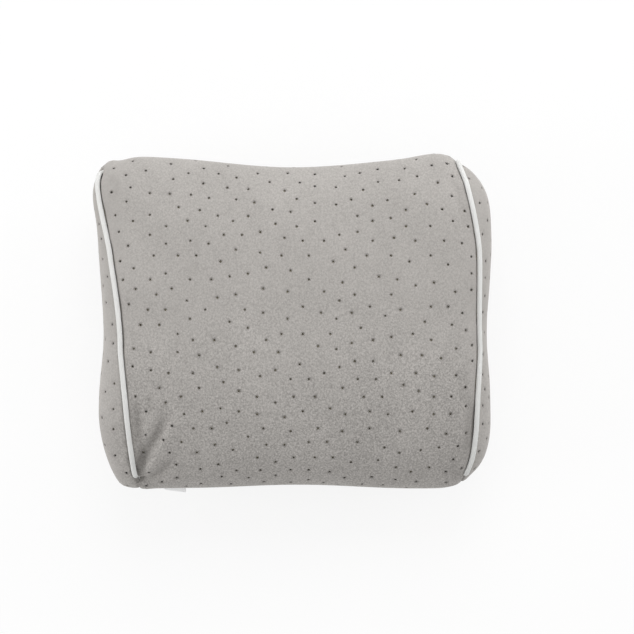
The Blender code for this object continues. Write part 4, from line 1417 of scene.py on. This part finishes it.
@dataclass
class PerforatedCover:
    """The main panel that wraps round front and back, and the leaf that closes each end."""

    form: CushionForm
    relief: ClothRelief
    pattern: PerforationPattern
    cell: float = 0.0021
    cloth: float = 0.0012
    slot_half: float = 0.0046
    hem_width: float = 0.0075
    hem_rise: float = 0.00055
    stitch_line: float = 0.0022
    hole_from_seam: float = 0.0050
    steepest_hole: float = 0.88
    least_cell: float = 0.0014
    side_cells: int = 11
    leaf_corner: float = 0.030
    leaf_cells: tuple[int, int] = (104, 34)
    leaf_hole_from_seam: float = 0.0035
    lip_sink: float = 0.00046
    hem_press: float = 0.0004
    lips: list[tuple[np.ndarray, np.ndarray]] = field(default_factory=list)

    @property
    def middle_cells(self) -> int:
        """How many columns the zip's opening spans."""
        return round(2 * self.form.zip_half / self.cell)

    def _columns(self, distance: float) -> np.ndarray:
        """The main panel's places along one meridian, closer together beside its seams."""
        form = self.form
        _, left, right, _ = self.relief.closed_edges(form, distance)
        inner = form.along(distance, -form.zip_half), form.along(distance, form.zip_half)
        near = left + ROLL_STEPS
        far = (right - ROLL_STEPS)[::-1]
        middle = np.linspace(*inner, self.middle_cells + 1)
        before = np.linspace(near[-1], inner[0], self.side_cells + 1)[1:-1]
        after = np.linspace(inner[1], far[0], self.side_cells + 1)[1:-1]
        return np.concatenate((near, before, middle, after, far))

    def _from_seam(self, distances: np.ndarray) -> np.ndarray:
        """How far inside the nearer of its two edges each point of the main panel lies."""
        found = []
        for distance in distances:
            _, left, right, _ = self.relief.closed_edges(self.form, distance)
            places = self._columns(distance)
            found.append(np.minimum(places - left, right - places))
        return np.array(found)

    def _shut(self, distances: np.ndarray, points: np.ndarray) -> np.ndarray:
        """How far the cloth is closed over the piping at each point of the main panel."""
        ends = {side: [self.relief.shut(self.form, side, at) for at in distances] for side in Side}
        left, right = np.array(ends[Side.LEFT])[:, None], np.array(ends[Side.RIGHT])[:, None]
        return np.where(points[..., 0] < 0, left, right)

    def build_main_panel(self, finishes: Finishes) -> bpy.types.Object:
        """Builds the wrapped panel with its folds, holes and zip opening."""
        form = self.form
        hem = self.slot_half + self.hem_width
        groove = self.slot_half + self.stitch_line
        offsets = (self.slot_half, groove - 0.0011, groove, groove + 0.0011, hem)
        marks = [form.zip_line + sign * offset for offset in offsets for sign in (-1, 1)]
        distances = form.rows(self.cell, marks)
        base = form.surface(distances, self._columns)
        normals = grid_normals(base, True)
        from_seam = self._from_seam(distances)
        lift = self.relief.folds(base, normals) + self.relief.gathers(base, from_seam)
        lift = lift + self.relief.rolls(from_seam, self._shut(distances, base)) + self._hems(base, distances)
        points = base + normals * lift[..., None]
        points[..., 2] = np.maximum(points[..., 2], 0.00005)
        smooth_side, normals = normals, grid_normals(points, True)
        first = len(ROLL_STEPS) + self.side_cells - 1
        skipped = set()
        for row, distance in enumerate(distances):
            step = (distances[(row + 1) % len(distances)] - distance) % form.round
            if abs(distance + step / 2 - form.zip_line) < self.slot_half:
                skipped |= {(row, first + cell) for cell in range(self.middle_cells)}
        away_zip = np.abs(distances - form.zip_line)[:, None]
        away_strap = np.abs(distances - form.strap_line)[:, None]
        allowed = (from_seam > self.hole_from_seam) & (away_zip > hem + 0.004)
        allowed &= away_strap > form.strap_width / 2 + 0.003
        steps = np.linalg.norm(np.roll(points, -1, axis=0) - points, axis=-1)
        allowed &= np.minimum(steps, np.roll(steps, 1, axis=0)) > self.least_cell
        allowed &= np.sum(normals * smooth_side, axis=-1) > self.steepest_hole
        holes = self.pattern.choose(points, allowed)
        # painted shade in the folds and beside the seams, stored with the mesh
        pressed = self.relief.pressed(base, normals, from_seam)
        grid = ClothGrid(points, normals, True, skipped, holes, pressed)
        name = "wrap_panel_cloth"
        piece = new_piece(name, grid.mesh(name), [finishes.suede, finishes.cut_edge])
        thicken(piece, self.cloth, -1, 1)
        settle(piece, Body.CUSHION, ["cover_main_panel"])
        self.lips += [(points[at], normals[at]) for at in holes]
        return piece

    def _hems(self, points: np.ndarray, distances: np.ndarray) -> np.ndarray:
        """The doubled hem beside the zip, pressed in along its stitch line."""
        form = self.form
        away = np.abs(distances - form.zip_line)[:, None]
        inside = 1 - smooth_step(np.abs(points[..., 0]), form.zip_half, form.zip_half + 0.006)
        hem = self.slot_half + self.hem_width
        raised = self.hem_rise * (1 - smooth_step(away, self.slot_half + 0.005, hem))
        pressed = -self.hem_press * bell(away - self.slot_half - self.stitch_line, 0.0008)
        rounded = -self.hem_press * (1 - smooth_step(away, self.slot_half, self.slot_half + 0.0012))
        return (raised + pressed + rounded) * inside

    def _leaf_rings(self, ring: np.ndarray, length: float) -> np.ndarray:
        """How far from the seam edge a ring lies, close-set near the seam."""
        count = len(ROLL_STEPS) - 1
        share_at_rolls = 0.36
        knots = np.concatenate((np.linspace(0, share_at_rolls, count + 1), [1.0]))
        return np.interp(1 - ring, knots, np.concatenate((ROLL_STEPS, [length])))

    def build_leaf(self, side: Side, finishes: Finishes) -> bpy.types.Object:
        """Builds one end panel as a square-ringed grid, which has no tight pole."""
        form = self.form
        top, bottom = form.knots["top_nose"], form.knots["bottom_nose"]
        corner = self.leaf_corner
        stops = np.array(
            (bottom + corner - form.round, top - corner, top + corner, bottom - corner, bottom + corner)
        )
        tall, deep = self.leaf_cells
        u = np.linspace(-1, 1, tall + 1)[:, None] + np.zeros((1, deep + 1))
        v = np.linspace(-1, 1, deep + 1)[None, :] + np.zeros((tall + 1, 1))
        ring = np.maximum(np.abs(u), np.abs(v))
        safe = np.maximum(ring, 1e-9)
        front = stops[0] + (u / safe + 1) / 2 * (stops[1] - stops[0])
        nose = stops[1] + (1 - v / safe) / 2 * (stops[2] - stops[1])
        back = stops[2] + (1 - u / safe) / 2 * (stops[3] - stops[2])
        foot = stops[3] + (v / safe + 1) / 2 * (stops[4] - stops[3])
        on_ends = np.abs(u) >= np.abs(v)
        distance = np.where(on_ends, np.where(u > 0, nose, foot), np.where(v > 0, front, back))
        points = np.zeros((tall + 1, deep + 1, 3))
        from_seam = np.zeros((tall + 1, deep + 1))
        shut = np.zeros((tall + 1, deep + 1))
        for row in range(tall + 1):
            for column in range(deep + 1):
                at = float(distance[row, column])
                outer_left, _, _, outer_right = self.relief.closed_edges(form, at)
                end = form.ends(at)[2]
                edge = outer_left if side is Side.LEFT else outer_right
                length = edge if side is Side.LEFT else end - edge
                away = float(self._leaf_rings(ring[row, column], length))
                points[row, column] = form.bare(at, [edge + side.value * away])[0]
                from_seam[row, column] = away
                shut[row, column] = self.relief.shut(form, side, at)
        points = points + np.array(form.centring)
        if side is Side.LEFT:
            points, from_seam, shut = points[:, ::-1], from_seam[:, ::-1], shut[:, ::-1]
        normals = grid_normals(points, False)
        if np.sum(normals[..., 0]) * side.value < 0:
            points, from_seam, shut = points[:, ::-1], from_seam[:, ::-1], shut[:, ::-1]
            normals = grid_normals(points, False)
        for row, next_row in ((0, 1), (-1, -2)):
            for column, next_column in ((0, 1), (-1, -2)):
                normals[row, column] = normals[next_row, next_column]
        lift = self.relief.rolls(from_seam, shut) + self.relief.gathers(points, from_seam) * 1.2
        lift = lift + self.relief.swell * 1.6 * ripple(points, 0.030, 5.5) + self.relief.corners(points)
        # painted shade: a thin dark line beside the leaf's seam
        pressed = 0.5 * bell(np.clip(from_seam, 0, None), 0.0012)
        points = points + normals * lift[..., None]
        points[..., 2] = np.maximum(points[..., 2], 0.0004)
        normals = grid_normals(points, False)
        allowed = from_seam > self.leaf_hole_from_seam
        for axis in (0, 1):
            steps = np.linalg.norm(np.gradient(points, axis=axis), axis=-1)
            allowed &= steps > self.least_cell
        allowed[[0, 1, -1, -2], :] = False
        allowed[:, [0, 1, -1, -2]] = False
        pattern = PerforationPattern(self.pattern.spacing, self.pattern.seed + side.value)
        holes = pattern.choose(points, allowed)
        grid = ClothGrid(points, normals, False, set(), holes, pressed)
        name = f"end_leaf_cloth_{side.word}"
        piece = new_piece(name, grid.mesh(name), [finishes.suede, finishes.cut_edge])
        thicken(piece, self.cloth, -1, 1)
        settle(piece, Body.CUSHION, [f"cover_side_panel_{side.word}"])
        self.lips += [(points[at], normals[at]) for at in holes]
        return piece

    def build_lips(self, finishes: Finishes) -> bpy.types.Object:
        """Builds the pressed ring round every perforation."""
        places = np.array([place for place, _ in self.lips])
        outward = np.array([normal for _, normal in self.lips])
        carrier = marked_points("perforations", places - outward * self.lip_sink, outward, False)
        piece = perforation_lip_recipe().piece("perforation_lips", carrier, finishes.suede)
        return settle(piece, Body.CUSHION)


@dataclass
class PipedSeams:
    """The covered cord in the seam round each end."""

    form: CushionForm
    relief: ClothRelief
    sides: int = 16
    cell: float = 0.0016
    lowest: float = 0.0002

    def build(self, side: Side, finish: bpy.types.Material) -> bpy.types.Object:
        """Builds one closed ring of piping with its own map."""
        form = self.form
        index = 0 if side is Side.LEFT else 1
        distances = form.rows(self.cell, ())
        reach = 0.001

        def places(distance: float) -> np.ndarray:
            """The seam with a point on either side of it."""
            seam = form.ends(distance)[index]
            return np.array((seam - reach, seam, seam + reach))

        strip = form.surface(distances, places)
        normals = grid_normals(strip, True)[:, 1]
        shut = np.array([self.relief.shut(form, side, distance) for distance in distances])
        lift = form.piping_proud - self.relief.tuck_depth * shut + self.relief.corners(strip[:, 1])
        centre = strip[:, 1] + normals * lift[:, None]
        centre = centre + normals * (0.00018 * ripple(centre, 0.013, 2.2))[:, None]
        onward = np.roll(centre, -1, axis=0) - np.roll(centre, 1, axis=0)
        onward = onward / np.linalg.norm(onward, axis=1, keepdims=True)
        across = np.cross(onward, normals)
        radius = form.piping_radius * (1 + 0.030 * ripple(centre, 0.007, 6.4))
        angles = np.linspace(0, 2 * math.pi, self.sides, endpoint=False)
        ring = [across * math.cos(angle) + normals * math.sin(angle) for angle in angles]
        points = centre[:, None] + np.stack(ring, axis=1) * radius[:, None, None]
        points[..., 2] = np.maximum(points[..., 2], self.lowest)
        count = len(distances)
        steps = np.linalg.norm(np.roll(centre, -1, axis=0) - centre, axis=1)
        run = np.concatenate(([0.0], np.cumsum(steps)))
        turn = form.piping_radius * 2 * math.pi / self.sides
        faces, uv = [], []
        for row in range(count):
            for column in range(self.sides):
                near, far = row * self.sides, (row + 1) % count * self.sides
                after = (column + 1) % self.sides
                faces.append((near + column, near + after, far + after, far + column))
                uv += [(run[row], column * turn), (run[row], (column + 1) * turn)]
                uv += [(run[row + 1], (column + 1) * turn), (run[row + 1], column * turn)]
        name = f"covered_piping_{side.word}"
        mesh = bpy.data.meshes.new(name)
        mesh.from_pydata(points.reshape(-1, 3).tolist(), [], faces)
        mesh.uv_layers.new(name="weave").data.foreach_set("uv", np.array(uv, np.float32).ravel())
        turn_outwards(mesh)
        piece = new_piece(name, mesh, [finish])
        return settle(piece, Body.CUSHION, [f"piping_{side.word}"])


def turn_outwards(mesh: bpy.types.Mesh) -> None:
    """Makes the faces of a closed mesh point outwards."""
    bm = bmesh.new()
    bm.from_mesh(mesh)
    bmesh.ops.recalc_face_normals(bm, faces=bm.faces)
    bm.to_mesh(mesh)
    bm.free()


@dataclass
class ElasticStrap:
    """The ribbed elastic band across the back, sewn into both side seams."""

    form: CushionForm
    across_cells: int = 60
    along_cells: int = 120

    def build(self, finishes: Finishes) -> bpy.types.Object:
        """Builds the band, its ribs and the rows of stitches at its two ends."""
        form = self.form
        half = form.strap_width / 2
        offsets = np.linspace(-half, half, self.across_cells + 1)
        distances = form.strap_line + offsets

        def places(distance: float) -> np.ndarray:
            """Evenly spread places between the two seams."""
            _, left, right, _ = form.seam_edges(distance)
            return np.linspace(left, right, self.along_cells + 1)

        base = form.surface(distances, places)
        normals = grid_normals(base, False)
        points = base + normals * form.clearance
        middle = points[len(offsets) // 2]
        uv = metre_map(running_lengths(middle)[None, :], offsets[:, None])
        mesh = band_mesh("elastic_strap_band", points, uv)
        piece = rib_recipe().piece("elastic_strap_band", mesh, finishes.elastic)
        thicken(piece, form.strap_thickness - 0.0003, 1)
        settle(piece, Body.CUSHION, ["elastic_strap"])
        outer = points + normals * (form.strap_thickness - 0.0001)
        rows = []
        for column in (4, 6, self.along_cells - 6, self.along_cells - 4):
            rows.append((outer[3:-3, column], normals[3:-3, column]))
        for number, (line, outward) in enumerate(rows, 1):
            carrier = marked_points("strap_stitch_line", line, outward, True)
            name = f"strap_end_stitches_{number}"
            row = stitch_recipe().piece(name, carrier, finishes.thread)
            settle(row, Body.CUSHION)
        return piece


@dataclass
class CoverZip:
    """The closing zip at the lower back: tapes, teeth, stops, slider and pull."""

    form: CushionForm
    relief: ClothRelief
    chain_inner: float = 0.0008
    chain_end: float = 0.0953
    tape_half: float = 0.0126
    tape_outer: float = -0.0018
    tape_thickness: float = 0.0006
    chain_level: float = -0.0006
    pitch: float = 0.0030
    stitch_from_zip: float = 0.0068
    sharpest: float = math.radians(35)
    tooth_reach: float = 0.0032
    worn_edge: float = 0.00012
    stitch_rise: float = 0.00050

    def frame_at(self, x: float) -> Matrix:
        """The zip's own place and directions at x: along it, across it and out."""
        form = self.form
        along = form.along(form.zip_line, x)
        step = 0.0015
        here = form.bare(form.zip_line, [along])[0] + np.array(form.centring)
        around = (form.zip_line - step, form.zip_line + step)
        before, after = (form.bare(at, [form.along(at, x)])[0] for at in around)
        across = Vector(after - before).normalized()
        out = Vector((1, 0, 0)).cross(across).normalized()
        axes = Matrix((Vector((1, 0, 0)), out.cross(Vector((1, 0, 0))), out)).transposed().to_4x4()
        return Matrix.Translation(Vector(here)) @ axes

    def build_tape(self, name: str, sign: int, finish: bpy.types.Material) -> bpy.types.Object:
        """Builds one woven tape, tucked under the hem."""
        form = self.form
        offsets = np.linspace(self.chain_inner, self.tape_half, 20)
        distances = np.sort(form.zip_line + sign * offsets)
        xs = np.linspace(-form.zip_half - form.tape_overlap, form.zip_half + form.tape_overlap, 130)
        base = form.surface(distances, form.places_at(xs))
        points = base + grid_normals(base, False) * self.tape_outer
        uv = metre_map(xs[None, :], (distances - form.zip_line)[:, None])
        piece = new_piece(name, band_mesh(name, points, uv), [finish])
        thicken(piece, self.tape_thickness, -1)
        return settle(piece, Body.CUSHION, [f"zip_tape_{name.split('_')[-1]}"])

    def build_teeth(self, name: str, sign: int, finish: bpy.types.Material) -> bpy.types.Object:
        """Builds one row of teeth, half a pitch out of step with the other."""
        count = int(2 * self.chain_end / self.pitch) - 1
        start = -self.chain_end + self.pitch * (0.75 if sign > 0 else 0.25)
        carrier = bpy.data.meshes.new(name + "_carrier")
        carrier.from_pydata([(0.0, 0.0, 0.0)], [], [])
        sizes = {"count": count, "pitch": self.pitch, "start": start, "side": float(sign)}
        sizes["reach"] = self.tooth_reach
        piece = zip_teeth_recipe().piece(name, carrier, finish, **sizes)
        lift = Matrix.Translation((0, 0, self.chain_level))
        piece.data.transform(self.frame_at(0.0) @ lift)
        bevel = piece.modifiers.new("worn_edges", "BEVEL")
        bevel.width = self.worn_edge
        bevel.segments = 1
        apply_modifiers(piece)
        piece.data.shade_smooth()
        node = "zip_chain_lower" if sign > 0 else "zip_chain_upper"
        return settle(piece, Body.CUSHION, [node])

    def build_hardware(
        self, node: str, name: str, body: Body, edge: float, finish: bpy.types.Material
    ) -> bpy.types.Object:
        """Rounds off a copy of a metal solid.

        Args:
            node: The solid to start from.
            name: The piece's name.
            body: The body that it moves with.
            edge: How far its edges are rounded.
            finish: Its material.

        Returns:
            The finished piece.
        """
        bm = bmesh.new()
        bm.from_mesh(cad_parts[node].data)
        bmesh.ops.remove_doubles(bm, verts=bm.verts, dist=1e-6)
        bmesh.ops.dissolve_limit(
            bm, angle_limit=math.radians(3), verts=bm.verts, edges=bm.edges, delimit=set()
        )
        weight = bm.edges.layers.float.new("bevel_weight_edge")
        for line in bm.edges:
            line[weight] = float(line.is_convex and line.calc_face_angle(0.0) > self.sharpest)
        mesh = bpy.data.meshes.new(name)
        bm.to_mesh(mesh)
        bm.free()
        piece = new_piece(name, mesh, [finish], 60.0)
        bevel = piece.modifiers.new("rounded_edges", "BEVEL")
        bevel.width = edge
        bevel.segments = 3
        bevel.limit_method = "WEIGHT"
        bevel.harden_normals = True
        apply_modifiers(piece)
        return settle(piece, body, [node])

    def build_hem_stitches(self, sign: int, finishes: Finishes) -> bpy.types.Object:
        """Builds the row of stitches that holds one hem to its tape."""
        form = self.form
        xs = np.linspace(-form.zip_half - 0.003, form.zip_half + 0.003, 120)
        distances = form.zip_line + sign * self.stitch_from_zip + np.array((-0.001, 0.0, 0.001))
        base = form.surface(distances, form.places_at(xs))
        normals = grid_normals(base, False)
        lift = self.stitch_rise + self.relief.folds(base, normals)[1]
        normals = normals[1]
        line = base[1] + normals * lift[:, None]
        carrier = marked_points("hem_stitch_line", line, normals, True)
        word = "lower" if sign > 0 else "upper"
        piece = stitch_recipe().piece(f"hem_stitches_{word}", carrier, finishes.thread)
        return settle(piece, Body.CUSHION)

    def build(self, finishes: Finishes) -> None:
        """Builds the whole zip."""
        for word, sign in (("upper", -1), ("lower", 1)):
            self.build_tape(f"woven_zip_tape_{word}", sign, finishes.tape)
            self.build_teeth(f"zip_teeth_{word}", sign, finishes.teeth)
            self.build_hem_stitches(sign, finishes)
        for side in Side:
            node = f"zip_stop_{side.word}"
            self.build_hardware(node, f"zip_end_stop_{side.word}", Body.CUSHION, 0.0003, finishes.metal)
        self.build_hardware("zip_slider", "zip_slider_body", Body.SLIDER, 0.00022, finishes.metal)
        self.build_hardware("zip_pull", "zip_pull_tab", Body.PULL, 0.00020, finishes.metal)


@dataclass
class SatinLabel:
    """The small blank label, folded double and sewn in beside the zip."""

    form: CushionForm
    width: float = 0.0155
    left_of_middle: float = 0.0858
    from_zip: float = 0.0056
    sewn: float = 0.0050
    free: float = 0.0154
    layer: float = 0.00014
    lay: float = 0.62
    curl: float = 0.22
    slant: float = 0.10
    sway: float = 0.00030

    def build(self, finishes: Finishes) -> bpy.types.Object:
        """Builds the two layers with the fold at the free end."""
        form = self.form
        start = form.zip_line + self.from_zip
        columns = 24
        half = self.width / 2
        xs = np.linspace(-self.left_of_middle - half, -self.left_of_middle + half, columns)
        sewn_rows = np.linspace(start, start + self.sewn, 8)
        base = form.surface(sewn_rows, form.places_at(xs))
        normals = grid_normals(base, False)
        outward = normals[-1]
        onward = base[-1] - base[-2]
        onward = onward / np.linalg.norm(onward, axis=-1, keepdims=True)
        lengths = np.linspace(0, self.free - 0.0003, 27)
        step = lengths[1]
        lifted = self.lay * smooth_step(lengths[1:], 0.0, 0.007)
        turns = lifted - self.curl * smooth_step(lengths[1:], 0.006, self.free)
        ahead, lift = np.cumsum(np.cos(turns)) * step, np.cumsum(np.sin(turns)) * step
        slant = 1 + self.slant * np.linspace(-1, 1, columns)[:, None]
        sway = self.sway * np.sin(np.linspace(0, math.pi * 1.6, columns))[:, None]
        rest, facing = [], []
        for length, out, turn, grown in zip(ahead, lift, turns, lengths[1:] / self.free):
            rest.append(base[-1] + onward * length * slant + outward * (out + sway * grown))
            facing.append(outward * math.cos(turn) - onward * math.sin(turn))
        path = np.concatenate((base, np.array(rest)))
        sides = np.concatenate((normals, np.array(facing)))
        low, high = form.clearance + 0.00008, form.clearance + 0.00038
        under = path + sides * low
        over = path + sides * high
        middle, reach = (low + high) / 2, (high - low) / 2
        fold = []
        for angle in np.linspace(-math.pi / 2, math.pi / 2, 7)[1:-1]:
            tip = np.cross(np.array((1.0, 0.0, 0.0)), sides[-1])
            outer = sides[-1] * (middle + reach * math.sin(angle))
            fold.append(path[-1] + outer + tip * reach * math.cos(angle))
        points = np.concatenate((under, np.array(fold), over[::-1]))
        run = running_lengths(points[:, columns // 2])
        uv = metre_map(run[:, None], (xs - xs[0])[None, :])
        name = "blank_satin_label"
        piece = new_piece(name, band_mesh(name, points, uv), [finishes.satin])
        thicken(piece, self.layer, 0)
        settle(piece, Body.CUSHION, ["care_label"])
        stitched = over[3] + sides[3] * (self.layer / 2 + 0.00008)
        carrier = marked_points("label_stitch_line", stitched, sides[3], True)
        row = stitch_recipe().piece("label_stitches", carrier, finishes.thread, pitch=0.0026)
        settle(row, Body.CUSHION)
        return piece


@dataclass
class Studio:
    """The pale floor, the soft lights and the camera straight above."""

    floor_size: float = 6.0
    camera_height: float = 1.54
    lens: float = 120.3
    shift: Point = (0.0348, 0.0110)
    shadow_share: float = 0.17
    floor_colour: Colour = (1.0, 1.0, 1.0, 1.0)
    ambient: float = 0.62
    seen_rays: tuple[str, ...] = ("Camera", "Glossy", "Transmission")
    lamps: dict[str, tuple[Triple, float, float]] = field(
        default_factory=lambda: {
            "top_softbox": ((0.10, 1.55, 1.25), 1.30, 15.5),
            "right_strip": ((1.45, 0.95, 0.55), 0.80, 6.5),
            "left_strip": ((-1.55, -0.15, 0.60), 0.80, 6.5),
        }
    )

    def build_floor(self) -> None:
        """Builds the floor: white to the camera, with a soft shadow."""
        bpy.ops.mesh.primitive_grid_add(x_subdivisions=2, y_subdivisions=2, size=self.floor_size)
        floor = bpy.context.object
        floor.name = "studio_floor"
        nodes = FinishNodes("studio_floor", self.floor_colour)
        plain = nodes.node("ShaderNodeBsdfDiffuse", None, {"Color": self.floor_colour})
        white = nodes.node("ShaderNodeEmission", None, {"Color": self.floor_colour, "Strength": 1.0})
        share = self._seen(nodes) * (1 - self.shadow_share)
        mixed = nodes.node("ShaderNodeMixShader", None, {0: share, 1: plain, 2: white})
        nodes.node("ShaderNodeOutputMaterial", None, {"Surface": mixed})
        floor.data.materials.append(nodes.material)

    def _seen(self, nodes: Nodes) -> Value:
        """1 where the camera, a mirror or a clear piece looks, and 0 for light itself."""
        rays = [nodes.node("ShaderNodeLightPath", output=f"Is {ray} Ray") for ray in self.seen_rays]
        return rays[0] + rays[1] + rays[2]

    def build_world(self) -> None:
        """Builds the even surroundings, which look white."""
        world = bpy.data.worlds.new("studio")
        bpy.context.scene.world = world
        world.use_nodes = True
        world.node_tree.nodes.clear()
        nodes = Nodes(world.node_tree)
        settings = {"Color": (1.0, 1.0, 1.0, 1.0), "Strength": self.ambient}
        even = nodes.node("ShaderNodeBackground", None, settings)
        white = nodes.node("ShaderNodeBackground", None, {**settings, "Strength": 1.0})
        mixed = nodes.node("ShaderNodeMixShader", None, {0: self._seen(nodes), 1: even, 2: white})
        nodes.node("ShaderNodeOutputWorld", None, {"Surface": mixed})

    def build_lights(self) -> None:
        """Builds the soft lamps."""
        for name, (place, size, power) in self.lamps.items():
            lamp = bpy.data.lights.new(name, "AREA")
            lamp.energy = power
            lamp.size = size
            holder = bpy.data.objects.new(name, lamp)
            holder.location = place
            aim = Vector((0, 0, 0.03)) - Vector(place)
            holder.rotation_euler = aim.to_track_quat("-Z", "Y").to_euler()
            bpy.context.scene.collection.objects.link(holder)

    def build_camera(self) -> None:
        """Builds the camera at the photograph's angle."""
        data = bpy.data.cameras.new("straight_above")
        data.lens = self.lens
        data.sensor_width = 36.0
        data.shift_x, data.shift_y = self.shift
        data.clip_start, data.clip_end = 0.05, 50.0
        camera = bpy.data.objects.new("straight_above", data)
        camera.location = (0, 0, self.camera_height)
        bpy.context.scene.collection.objects.link(camera)
        bpy.context.scene.camera = camera

    def build(self) -> None:
        """Builds the whole studio."""
        self.build_floor()
        self.build_world()
        self.build_lights()
        self.build_camera()
        bpy.context.scene.view_settings.view_transform = "Standard"


def main() -> None:
    """Builds the studio, then the cushion from the inside out."""
    logging.basicConfig(level=logging.INFO, format="%(name)s: %(message)s")
    Studio().build()
    finishes = Finishes()
    form = CushionForm()
    relief = ClothRelief()
    FoamCore(form, relief).build(finishes.foam)
    cover = PerforatedCover(form, relief, PerforationPattern())
    cover.build_main_panel(finishes)
    for side in Side:
        cover.build_leaf(side, finishes)
    cover.build_lips(finishes)
    seams = PipedSeams(form, relief)
    for side in Side:
        seams.build(side, finishes.piping)
    ElasticStrap(form).build(finishes)
    CoverZip(form, relief).build(finishes)
    SatinLabel(form).build(finishes)


if __name__ == "__main__":
    main()
